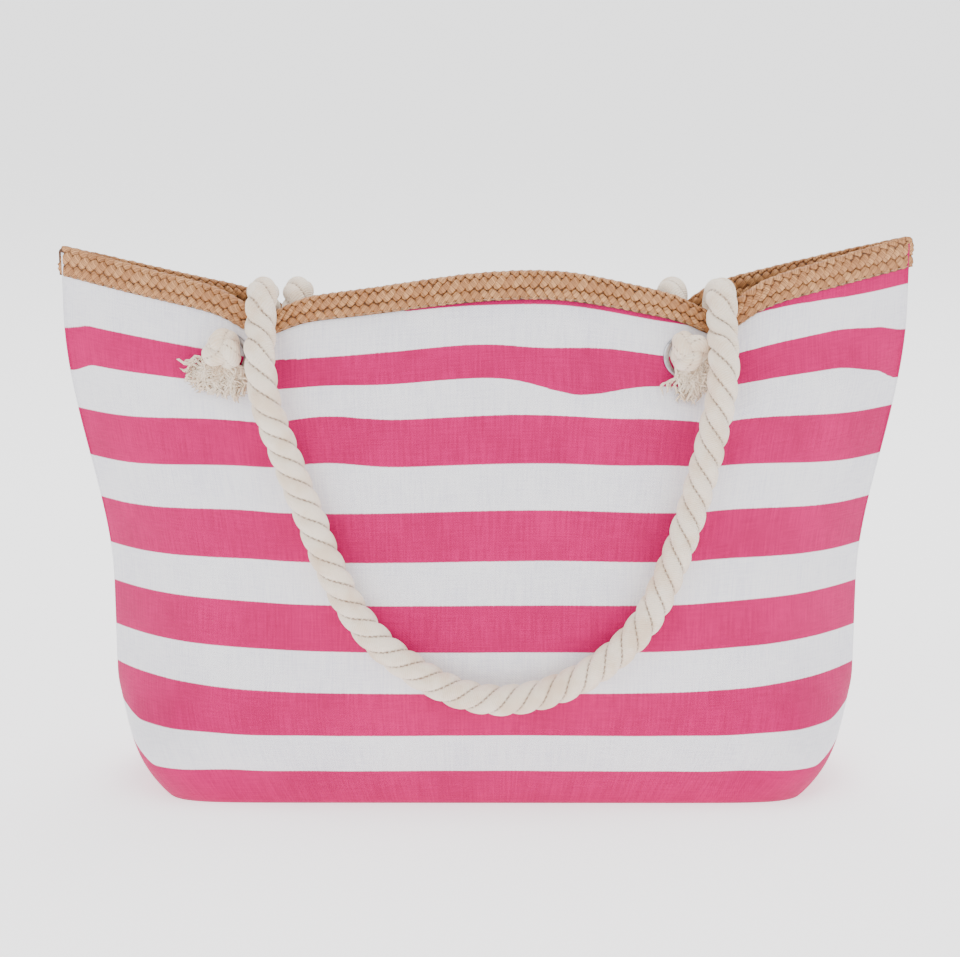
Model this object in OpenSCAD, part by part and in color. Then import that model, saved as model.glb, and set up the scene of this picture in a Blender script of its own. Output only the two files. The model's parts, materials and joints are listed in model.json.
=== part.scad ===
// Striped canvas beach bag. Two canvas panels and a base are lined and sewn into
// an open sack, a plaited braid is folded over the rim, and each rope handle is
// knotted outside the cloth, enters through an eyelet, climbs inside, turns over
// the rim and hangs in a loop. The origin is the middle of the base on the floor,
// -Y is the front and +Z is up.

/* [Bag] */
// Width across the mouth, from side seam to side seam
mouth_w = 550; // [460:1:660]
// Width of the base, from side seam to side seam
base_w = 426; // [355:1:511]
// Depth of the base, from front edge to back edge
base_d = 124; // [103:1:150]
// Height of the mouth at the left seam
seam_h = 355; // [330:1:426]
// How much higher the right seam stands
right_rise = 6; // [0:1:10]
// Height of the front rim at its crest between the rope legs
front_crest_h = 342; // [325:1:370]
// Distance of that crest to the right of the centre line
front_crest_x = 35; // [0:1:50]
// Height of the front rim where a rope leg crosses it
front_dip_h = 326; // [315:1:350]
// Height of the back rim halfway between its rope legs
back_crest_h = 327; // [315:1:360]
// Height of the back rim where a rope leg crosses it
back_dip_h = 318; // [305:1:345]
// Opening of the mouth from front rim to back rim
mouth_gap = 62; // [56:1:90]
// How far each panel swells beyond the edge of the base
belly = 11; // [4:1:18]
// How far the middle of each rim is drawn inwards
pinch = 9; // [0:1:12]
// How far a rope leg pushes the rim outwards
spread = 6; // [2:1:8]
// How far a rope leg presses the rim down
press = 10; // [8:0.5:12]

/* [Cloth] */
// Thickness of the outer canvas
canvas_t = 1.6; // [0.8:0.1:2]
// Thickness of the lining
lining_t = 0.8; // [0.4:0.1:1.2]
// Thickness of the plaited braid
braid_t = 2.2; // [1.2:0.1:2.4]
// Depth of the braid on each side of the rim
braid_h = 12.5; // [10:0.5:20]

/* [Handles] */
// Diameter of the twisted rope
rope_d = 20; // [16:0.5:20]
// Distance of the front rope legs from their middle
front_leg_x = 146; // [120:1:170]
// Distance of that middle from the centre line
front_leg_shift = 4; // [-6:1:6]
// Distance of the back rope legs from the centre line
back_leg_x = 124; // [100:1:150]
// Radius of the rope's centre line where it turns over the rim
turn_r = 15; // [15:0.5:18]
// Radius of a knot
knot_r = 12; // [11:0.5:13]
// How far an outer knot sits to the side of its rope leg
wide_knot_offset = 23; // [23:1:30]
// How far a tucked knot sits to the side of its rope leg
near_knot_offset = 22; // [21:1:27]
// Length of the frayed tuft below a knot
tuft_l = 27; // [18:1:40]

/* [Eyelets] */
// Radius of an eyelet's hole
eyelet_r = 11; // [10.5:0.1:13.2]
// Width of an eyelet's flange
eyelet_flange = 3.6; // [2.5:0.1:4.5]
// Distance of an eyelet's centre below the rim
eyelet_drop = 33; // [32:1:40]

/* [Inside] */
// Radius of a magnetic snap half
snap_r = 9; // [7:0.5:11]
// Distance of the snap's centre below the rim
snap_drop = 29; // [27:1:40]
// Width of the zipped pocket
pocket_w = 200; // [166:2:240]
// Height of the zip above the base
zip_z = 252; // [220:1:262]
// Depth of the pocket below its zip
pocket_l = 120; // [80:1:160]
// Length of the zip's teeth
zip_l = 170; // [120:2:200]

/* [Hidden] */

FRONT = -1;
BACK = 1;

// Clearance between sewn layers
fit = 0.3;
// Nominal height from which the rim curve departs
mid_h = 335;
// Share of the flare that is reached in the bottom corners
corner_flare = 0.57;
// Columns across a sheet of cloth and rows up it
columns = 52;
rows = 12;
// Thickness of the sewn stack of canvas and lining
stack = canvas_t + fit + lining_t;
// Share of the panel's height that the braid covers
braid_share = braid_h / mid_h;
// Thickness of an eyelet's flange and of its washer
flange_t = 1.2;
washer_t = 1;
barrel_t = 0.8;
// Height of a knot's centre above the cloth, and of its flat seat
knot_seat = flange_t + 0.4;
knot_rise = knot_seat + knot_r - 1.5;
// Sides of a rope tube
rope_sides = 10;
// Thickness of a tuft where it is squeezed flat
tuft_t = 7;

FRONT_LEGS = [front_leg_shift - front_leg_x, front_leg_shift + front_leg_x];
BACK_LEGS = [back_leg_x, -back_leg_x];
FRONT_KNOTS = [FRONT_LEGS[0] - wide_knot_offset, FRONT_LEGS[1] - near_knot_offset];
BACK_KNOTS = [BACK_LEGS[0] + wide_knot_offset, BACK_LEGS[1] + near_knot_offset];

// The rope's own points. Each handle is one rope, cut here where its motion changes:
// from the knot through the eyelet to the inside of the rim, over the rim, and the
// hanging loop.
FRONT_LOOP = [
    [-142, -42.5, 321.9], [-142, -43.5, 318.2], [-142, -46, 312.5], [-142, -51, 305.5], [-142, -58, 298],
    [-141, -61, 290], [-140, -63, 280], [-138, -65, 269], [-134, -66, 256], [-127, -68, 238],
    [-119, -71, 217], [-110, -74, 195], [-100, -78, 169], [-87, -80, 142], [-76, -82, 126],
    [-63, -83, 112], [-49, -83, 101], [-34, -83, 91], [-14, -83, 82], [10, -83, 78],
    [36, -83, 82], [58, -83, 91], [75, -83, 102], [89, -82, 114], [100, -81, 127],
    [109, -79, 142], [121, -76, 171], [131, -71, 200], [139, -68, 229], [145, -67, 256],
    [148, -66, 270], [149, -65, 281], [150, -62, 291], [150, -58, 299], [150, -51, 305.5],
    [150, -46, 312.5], [150, -43.5, 318.2], [150, -42.5, 321.9]
];
BACK_LOOP = [
    [124, 44.5, 313.9], [124, 45.5, 310.2], [124, 48, 304.5], [124, 53, 297.5], [124, 59, 290],
    [123, 62, 282], [121, 64, 271], [118, 66, 259], [114, 68, 244], [108, 71, 224],
    [102, 74, 202], [96, 78, 176], [88, 81, 150], [81, 83, 126], [72, 83, 106],
    [61, 83, 89], [47, 83, 76], [30, 83, 66], [10, 83, 61], [-10, 83, 61],
    [-29, 83, 66], [-46, 83, 76], [-60, 83, 89], [-71, 83, 106], [-80, 83, 126],
    [-88, 81, 150], [-96, 78, 176], [-102, 74, 202], [-108, 71, 224], [-114, 68, 244],
    [-118, 66, 259], [-121, 64, 271], [-123, 62, 282], [-124, 59, 290], [-124, 53, 297.5],
    [-124, 48, 304.5], [-124, 45.5, 310.2], [-124, 44.5, 313.9]
];
FRONT_LEFT_ANCHOR = [
    [-165, -33, 294], [-164, -28, 293], [-162, -23, 293], [-157, -17, 295],
    [-151, -14, 299], [-146, -13, 304], [-143, -13, 309], [-142, -13, 314]
];
FRONT_RIGHT_ANCHOR = [
    [128, -38, 294], [128, -32, 292], [130, -26, 292], [134, -19, 293],
    [140, -15, 297], [146, -13, 302], [149, -13, 308], [150, -13, 314]
];
BACK_LEFT_ANCHOR = [
    [147, 34, 285], [146, 29, 284], [144, 23, 284], [139, 18, 286],
    [133, 16, 290], [128, 15, 295], [125, 15, 300], [124, 15, 306]
];
BACK_RIGHT_ANCHOR = [
    [-102, 38, 285], [-102, 33, 283], [-105, 27, 283], [-109, 20, 284],
    [-115, 17, 288], [-121, 15, 293], [-123, 15, 299], [-124, 15, 306]
];

// Places where the rope turns over the rim: middle of the turn in Y and Z
FRONT_TURN = [-28, 318];
BACK_TURN = [30, 310];
// Length of rope that rises straight into a turn, and the angle that a turn covers
turn_rise = 4;
turn_angle = 165;

// ---- Curves of the bag ----

function smooth(a) = let (c = max(0, min(1, a))) c * c * (3 - 2 * c);
function bell(a) = exp(-a * a);
function legs(side) = side == FRONT ? FRONT_LEGS : BACK_LEGS;
function crest_h(side) = side == FRONT ? front_crest_h : back_crest_h;
function dip_h(side) = side == FRONT ? front_dip_h : back_dip_h;
function crest_x(side) = side == FRONT ? front_crest_x : 0;

// Half width and half depth of the bag at share v of its height
function flare(v) =
    corner_flare * (1 - pow(max(0, 1 - v / 0.22), 2)) + (1 - corner_flare) * smooth((v - 0.4) / 0.5);
function half_w(v, inset) = base_w / 2 + (mouth_w - base_w) / 2 * flare(v) - inset;
function half_d(v, inset) =
    base_d / 2 * (1 - pow(v, 2.6)) + mouth_gap / 2 * pow(v, 2.6) + belly * sin(180 * pow(v, 0.75)) - inset;

// Outline in plan: square at the floor, a lens with sharp seams at the rim
function outline_power(v) = 2.5 + 2.5 * pow(1 - v, 1.5) + 8 * bell(v * mid_h / 45);
function outline_root(v) = 1 + 4 * bell(v * mid_h / 36);
function outline(t, v) = pow(max(0, 1 - pow(abs(t), outline_power(v))), 1 / outline_root(v));

// How steeply the rim climbs from a rope leg to the left seam and to the right seam
left_climb = 1.1;
right_climb = 0.85;

// Height of the rim at distance x from the centre line
function climb(side, reach, seam, power) = (seam - dip_h(side)) * pow(max(0, reach), power);
function hump(side, share) = (crest_h(side) - dip_h(side)) * (0.5 + 0.5 * cos(180 * share));
function rim_h(side, x) =
    let (left = min(legs(side)), right = max(legs(side)), top = crest_x(side), end = mouth_w / 2)
    dip_h(side)
    + (x < left ? climb(side, (left - x) / (left + end), seam_h, left_climb)
        : x > right ? climb(side, (x - right) / (end - right), seam_h + right_rise, right_climb)
        : hump(side, x < top ? (top - x) / (top - left) : (x - top) / (right - top)))
    - press * (bell((x - left) / 20) + bell((x - right) / 20));

// How the mouth waves in and out near the rim
function wave(side, x, v) =
    (spread * (bell((x - legs(side)[0]) / 35) + bell((x - legs(side)[1]) / 35)) - pinch * bell(x / 75))
    * pow(v, 5);

// A point of the cloth: t is the share of the half width, v of the height, and
// inset is how far inside the outer face the point lies
function skin(side, t, v, inset) =
    let (x = half_w(v, inset) * t, k = outline(t, v))
    [x, side * k * (half_d(v, inset) + wave(side, x, v)),
     v * mid_h + (rim_h(side, t * mouth_w / 2) - mid_h) * pow(v, 3)];

// Share of the height at which the cloth reaches height z at distance x
function share_at(side, x, z, tries = 8, v = 0.8) =
    tries == 0 ? v
    : share_at(side, x, z, tries - 1, v + (z - skin(side, x / half_w(v, 0), v, 0)[2]) / mid_h);
function skin_at(side, x, z) =
    let (v = share_at(side, x, z)) skin(side, x / half_w(v, 0), v, 0);
function unit(a) = a / norm(a);
// Outward direction of the cloth there
function skin_normal(side, x, z) =
    unit(-side * cross(skin_at(side, x + 4, z) - skin_at(side, x - 4, z),
                       skin_at(side, x, z + 4) - skin_at(side, x, z - 4)));

// Columns lie closer together towards the side seams
function column_t(i) = let (u = 2 * i / columns - 1) 0.6 * sin(90 * u) + 0.4 * u;
function lift(p, z) = p + [0, 0, z];

// ---- Builders ----

// Closed slab between two grids of points with the same rows and columns
module slab(outer, inner, side) {
    rows = len(outer);
    cols = len(outer[0]);
    n = rows * cols;
    points = [for (grid = [outer, inner], row = grid, p = row) p];
    quads = concat(
        [for (r = [0:rows - 2], c = [0:cols - 2])
            [r * cols + c, (r + 1) * cols + c, (r + 1) * cols + c + 1, r * cols + c + 1]],
        [for (r = [0:rows - 2], c = [0:cols - 2])
            [n + r * cols + c, n + r * cols + c + 1, n + (r + 1) * cols + c + 1, n + (r + 1) * cols + c]],
        [for (c = [0:cols - 2]) [c, c + 1, n + c + 1, n + c]],
        [for (c = [0:cols - 2], b = [(rows - 1) * cols + c]) [b + 1, b, n + b, n + b + 1]],
        [for (r = [0:rows - 2], b = [r * cols]) [b + cols, b, n + b, n + b + cols]],
        [for (r = [0:rows - 2], b = [r * cols + cols - 1]) [b, b + cols, n + b + cols, n + b]]
    );
    faces = [for (q = quads, half = [[q[0], q[1], q[2]], [q[0], q[2], q[3]]])
        side == FRONT ? half : [half[2], half[1], half[0]]];
    polyhedron(points = points, faces = faces);
}

// Solid tube swept along points; ref is never along the route
module tube(route, r, ref) {
    last = len(route) - 1;
    rings = [for (i = [0:last])
        let (along = unit(route[min(i + 1, last)] - route[max(i - 1, 0)]),
             side_dir = unit(ref - (ref * along) * along), up_dir = cross(along, side_dir))
        [for (s = [0:rope_sides - 1], a = 360 * s / rope_sides)
            route[i] + r * (cos(a) * side_dir + sin(a) * up_dir)]];
    ring_tube(rings, false);
}

// Solid through a list of closed rings. A ring is two chains of points that face each
// other, the second running back, so that strips between them close its ends.
module ring_tube(rings, flip) {
    m = len(rings[0]);
    last = len(rings) - 1;
    points = [for (ring = rings, p = ring) p];
    walls = [for (i = [0:last - 1], s = [0:m - 1], s2 = [(s + 1) % m],
        a = [i * m + s], b = [i * m + s2], half = [[a, a + m, b + m], [a, b + m, b]]) half];
    caps = [for (s = [0:m / 2 - 2], start = [0, last * m], a = [start + s], b = [start + m - 1 - s],
        half = start == 0 ? [[a, a + 1, b - 1], [a, b - 1, b]] : [[b - 1, a + 1, a], [b, b - 1, a]]) half];
    faces = concat(walls, caps);
    polyhedron(points = points,
        faces = flip ? [for (f = faces) [for (k = [len(f) - 1:-1:0]) f[k]]] : faces);
}

// Moves a child onto the cloth: its +Z points out of the bag, its +X down the cloth
// and its +Y to the right as seen from outside
module on_skin(side, x, z) {
    n = skin_normal(side, x, z);
    translate(skin_at(side, x, z)) rotate([0, acos(n[2]), atan2(n[1], n[0])]) children();
}

function eyelet_z(side) = dip_h(side) - eyelet_drop;

// ---- Cloth ----

module holes(side, xs) {
    for (x = xs) on_skin(side, x, eyelet_z(side))
        cylinder(h = 40, r = eyelet_r + barrel_t + 0.2, center = true, $fn = 48);
}

// The lining's lowest row stands on the base; the canvas has one more row, on the floor
floor_gap = canvas_t + 2 * fit + lining_t;
LINING_ROWS = [for (r = [0:rows], low = floor_gap / mid_h) low + (1 - low) * pow(r / rows, 1.5)];

module cloth(side, inset, thickness, levels) {
    grids = [for (depth = [inset, inset + thickness])
        [for (v = levels) [for (i = [0:columns]) skin(side, column_t(i), v, depth)]]];
    slab(grids[0], grids[1], side);
}

module panel(side, xs) {
    difference() {
        cloth(side, 0, canvas_t, concat([0], LINING_ROWS));
        holes(side, xs);
    }
}

module lining(side, xs) {
    difference() {
        cloth(side, canvas_t + fit, lining_t, LINING_ROWS);
        holes(side, xs);
    }
}

module floor_sheet(inset, thickness) {
    edge = concat(
        [for (i = [0:columns]) skin(FRONT, column_t(i), 0, inset)],
        [for (i = [columns - 1:-1:1]) skin(BACK, column_t(i), 0, inset)]);
    linear_extrude(thickness) polygon([for (p = edge) [p[0], p[1]]]);
}

module front_panel() { color("white") panel(FRONT, FRONT_KNOTS); }
module back_panel() { color("deeppink") panel(BACK, BACK_KNOTS); }
module base_panel() { color("deeppink") floor_sheet(canvas_t + 2 * fit, canvas_t); }
module front_lining() { color("ivory") lining(FRONT, FRONT_KNOTS); }
module back_lining() { color("ivory") lining(BACK, BACK_KNOTS); }
module base_lining() {
    color("ivory") translate([0, 0, canvas_t + fit]) floor_sheet(stack + 2 * fit, lining_t);
}

// ---- Braid folded over the rim ----

function braid_ring(side, t) =
    let (out = -fit - braid_t, in = stack + fit + braid_t, low = 1 - braid_share)
    [skin(side, t, low, out), skin(side, t, 1, out),
     lift(skin(side, t, 1, out / 2), fit + braid_t), lift(skin(side, t, 1, stack - out / 2), fit + braid_t),
     skin(side, t, 1, in), skin(side, t, low, in),
     skin(side, t, low, stack + fit), skin(side, t, 1, stack + fit),
     lift(skin(side, t, 1, stack), fit), lift(skin(side, t, 1, 0), fit),
     skin(side, t, 1, -fit), skin(side, t, low, -fit)];

module braid(side) {
    ring_tube([for (i = [0:columns]) braid_ring(side, column_t(i))], side == BACK);
}

module front_braid() { color("tan") braid(FRONT); }
module back_braid() { color("tan") braid(BACK); }

// ---- Eyelets ----

module eyelet() {
    rotate_extrude($fn = 64) union() {
        translate([eyelet_r, 0.2]) square([eyelet_flange, flange_t]);
        translate([eyelet_r, -stack - washer_t - 1]) square([barrel_t, stack + washer_t + 1.4]);
        translate([eyelet_r, -stack - washer_t - 1.1]) square([barrel_t + 0.9, 0.5]);
    }
}

module washer() {
    translate([0, 0, -stack - washer_t - 0.3]) difference() {
        cylinder(h = washer_t, r = eyelet_r + eyelet_flange, $fn = 64);
        translate([0, 0, -1]) cylinder(h = washer_t + 2, r = eyelet_r + barrel_t + 0.1, $fn = 64);
    }
}

module place(side, x) { on_skin(side, x, eyelet_z(side)) children(); }

module front_left_eyelet() { color("silver") place(FRONT, FRONT_KNOTS[0]) eyelet(); }
module front_right_eyelet() { color("silver") place(FRONT, FRONT_KNOTS[1]) eyelet(); }
module back_left_eyelet() { color("silver") place(BACK, BACK_KNOTS[0]) eyelet(); }
module back_right_eyelet() { color("silver") place(BACK, BACK_KNOTS[1]) eyelet(); }
module front_left_washer() { color("gray") place(FRONT, FRONT_KNOTS[0]) washer(); }
module front_right_washer() { color("gray") place(FRONT, FRONT_KNOTS[1]) washer(); }
module back_left_washer() { color("gray") place(BACK, BACK_KNOTS[0]) washer(); }
module back_right_washer() { color("gray") place(BACK, BACK_KNOTS[1]) washer(); }

// ---- Rope handles ----

module knot() {
    intersection() {
        translate([0, 0, knot_rise]) sphere(r = knot_r, $fn = 48);
        translate([-knot_r, -knot_r, knot_seat]) cube([2 * knot_r, 2 * knot_r, 2 * knot_r]);
    }
}

// Fan of frayed strands that leans by the given angle from straight down
module tuft(lean) {
    difference() {
        rotate([0, 0, lean]) translate([0, 0, 1.2]) linear_extrude(tuft_t)
            polygon([[7, -7], [knot_r + tuft_l * 0.5, -15], [knot_r + tuft_l, -19],
                     [knot_r + tuft_l + 3, 0], [knot_r + tuft_l, 19], [knot_r + tuft_l * 0.5, 15], [7, 7]]);
        translate([0, 0, knot_rise]) sphere(r = knot_r + 0.05, $fn = 48);
        cylinder(h = 8, r = eyelet_r + eyelet_flange + 0.2, center = true, $fn = 64);
    }
}

module rope(route, ref) { color("linen") tube(route, rope_d / 2, ref); }

// The turn ends just short of the loop, which swings
module turn(x, centre, side) {
    end = turn_angle - asin(2 * fit / turn_r);
    function over(a) = [x, centre[0] - side * turn_r * cos(a), centre[1] + turn_r * sin(a)];
    rope(concat([lift(over(0), -turn_rise)], [for (a = [0:30:150]) over(a)], [over(end - 3), over(end)]),
        [1, 0, 0]);
}

module front_left_anchor() { rope(FRONT_LEFT_ANCHOR, [1, 0, 0]); }
module front_right_anchor() { rope(FRONT_RIGHT_ANCHOR, [1, 0, 0]); }
module back_left_anchor() { rope(BACK_LEFT_ANCHOR, [1, 0, 0]); }
module back_right_anchor() { rope(BACK_RIGHT_ANCHOR, [1, 0, 0]); }
module front_left_knot() { color("linen") place(FRONT, FRONT_KNOTS[0]) knot(); }
module front_right_knot() { color("linen") place(FRONT, FRONT_KNOTS[1]) knot(); }
module back_left_knot() { color("linen") place(BACK, BACK_KNOTS[0]) knot(); }
module back_right_knot() { color("linen") place(BACK, BACK_KNOTS[1]) knot(); }
module front_left_tuft() { color("wheat") place(FRONT, FRONT_KNOTS[0]) tuft(-25); }
module front_right_tuft() { color("wheat") place(FRONT, FRONT_KNOTS[1]) tuft(0); }
module back_left_tuft() { color("wheat") place(BACK, BACK_KNOTS[0]) tuft(-25); }
module back_right_tuft() { color("wheat") place(BACK, BACK_KNOTS[1]) tuft(-25); }
module front_left_turn() { turn(FRONT_LEGS[0], FRONT_TURN, FRONT); }
module front_right_turn() { turn(FRONT_LEGS[1], FRONT_TURN, FRONT); }
module back_left_turn() { turn(BACK_LEGS[0], BACK_TURN, BACK); }
module back_right_turn() { turn(BACK_LEGS[1], BACK_TURN, BACK); }
module front_loop() { rope(FRONT_LOOP, [0, 1, 0]); }
module back_loop() { rope(BACK_LOOP, [0, 1, 0]); }

// ---- Inside: magnetic snap and zipped pocket ----

// Depth of the lining's inner face below the outer face of the cloth
inner_face = stack + fit;
snap_t = 2.4;
snap_stud_r = 3.6;
snap_stud_h = 2;

module snap_place(side) {
    on_skin(side, 0, crest_h(side) - snap_drop) translate([0, 0, -inner_face]) mirror([0, 0, 1]) children();
}

module snap_stud_half() {
    color("silver") snap_place(FRONT) {
        cylinder(h = snap_t, r = snap_r, $fn = 48);
        cylinder(h = snap_t + snap_stud_h, r = snap_stud_r, $fn = 48);
    }
}

module snap_socket_half() {
    color("silver") snap_place(BACK) difference() {
        cylinder(h = snap_t + 0.6, r = snap_r, $fn = 48);
        translate([0, 0, snap_t + 0.6 - snap_stud_h]) cylinder(h = 4, r = snap_stud_r + 0.3, $fn = 48);
    }
}

// The zip lies flat in front of the back lining. Its own frame has +X down the cloth.
tape_w = 13;
tape_t = 0.8;
tooth_w = 2.2;
tooth_t = 1.6;
tape_off = 3;
slider_l = 11;
slider_w = 8;
slider_t = 1.6;
slider_gap = 0.3;
pull_l = 24;
pull_w = 6;
pull_t = 1.2;
bail_h = 3.4;

module zip_place() {
    on_skin(BACK, 0, zip_z) translate([0, 0, -inner_face - tape_off]) mirror([0, 0, 1]) children();
}

module pocket_panel() {
    low = (zip_z - pocket_l) / mid_h;
    high = (zip_z - tooth_w - 2) / mid_h;
    grids = [for (depth = [stack + 0.5, stack + 1.3])
        [for (r = [0:6], v = [low + (high - low) * r / 6])
            [for (i = [0:16], x = [pocket_w * (i / 16 - 0.5)]) skin(BACK, x / half_w(v, depth), v, depth)]]];
    color("ivory") slab(grids[0], grids[1], BACK);
}

module zip_tapes() {
    color("white") zip_place() for (s = [-1, 1])
        translate([s > 0 ? tooth_w : -tooth_w - tape_w, -pocket_w / 2, 0]) cube([tape_w, pocket_w, tape_t]);
}

module zip_teeth() {
    color("white") zip_place() for (s = [0, 1])
        translate([s > 0 ? 0.05 : -tooth_w, -zip_l / 2, 0]) cube([tooth_w - 0.05, zip_l, tooth_t]);
}

module zip_stops() {
    color("silver") zip_place() for (s = [-1, 1])
        translate([-tooth_w, s * (zip_l / 2 + 1.5) - 1.2, 0]) cube([2 * tooth_w, 2.4, tooth_t + 0.6]);
}

// The slider rests at the closed end, and its tab lies along the teeth
slider_y = -zip_l / 2 + slider_l / 2 + 1;

module zip_slider() {
    color("silver") zip_place() translate([0, slider_y, tooth_t + slider_gap]) {
        translate([-slider_w / 2, -slider_l / 2, 0]) cube([slider_w, slider_l, slider_t]);
        for (s = [-1, 1]) translate([s * (pull_w / 2 + 0.9) - 0.5, -1, 0]) cube([1, 2, slider_t + bail_h]);
        translate([-pull_w / 2 - 0.9, 0, slider_t + bail_h - 1]) rotate([0, 90, 0])
            cylinder(h = pull_w + 1.8, r = 0.6, $fn = 24);
    }
}

module zip_pull() {
    color("silver") zip_place() translate([0, slider_y, tooth_t + slider_gap + slider_t + bail_h - 1])
        difference() {
            union() {
                translate([-pull_w / 2, 0, -pull_t / 2]) cube([pull_w, pull_l, pull_t]);
                translate([-pull_w / 2, 0, 0]) rotate([0, 90, 0]) cylinder(h = pull_w, r = 1.4, $fn = 24);
            }
            translate([-pull_w, 0, 0]) rotate([0, 90, 0]) cylinder(h = 2 * pull_w, r = 0.7, $fn = 24);
            translate([0, pull_l * 0.7, -pull_t]) cylinder(h = 2 * pull_t, r = pull_w * 0.25, $fn = 24);
        }
}

front_panel();
back_panel();
base_panel();
front_lining();
back_lining();
base_lining();
front_braid();
back_braid();
front_left_eyelet();
front_right_eyelet();
back_left_eyelet();
back_right_eyelet();
front_left_washer();
front_right_washer();
back_left_washer();
back_right_washer();
front_left_anchor();
front_right_anchor();
back_left_anchor();
back_right_anchor();
front_left_knot();
front_right_knot();
back_left_knot();
back_right_knot();
front_left_tuft();
front_right_tuft();
back_left_tuft();
back_right_tuft();
front_left_turn();
front_right_turn();
back_left_turn();
back_right_turn();
front_loop();
back_loop();
snap_stud_half();
snap_socket_half();
pocket_panel();
zip_tapes();
zip_teeth();
zip_stops();
zip_slider();
zip_pull();
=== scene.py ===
"""Striped canvas beach bag with a plaited rim and knotted rope handles.

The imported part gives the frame. Every soft piece is built here on the same curves, in metres:
canvas and lining as sheets, the braid as plaited straw, the handles as twisted rope.
"""

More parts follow.
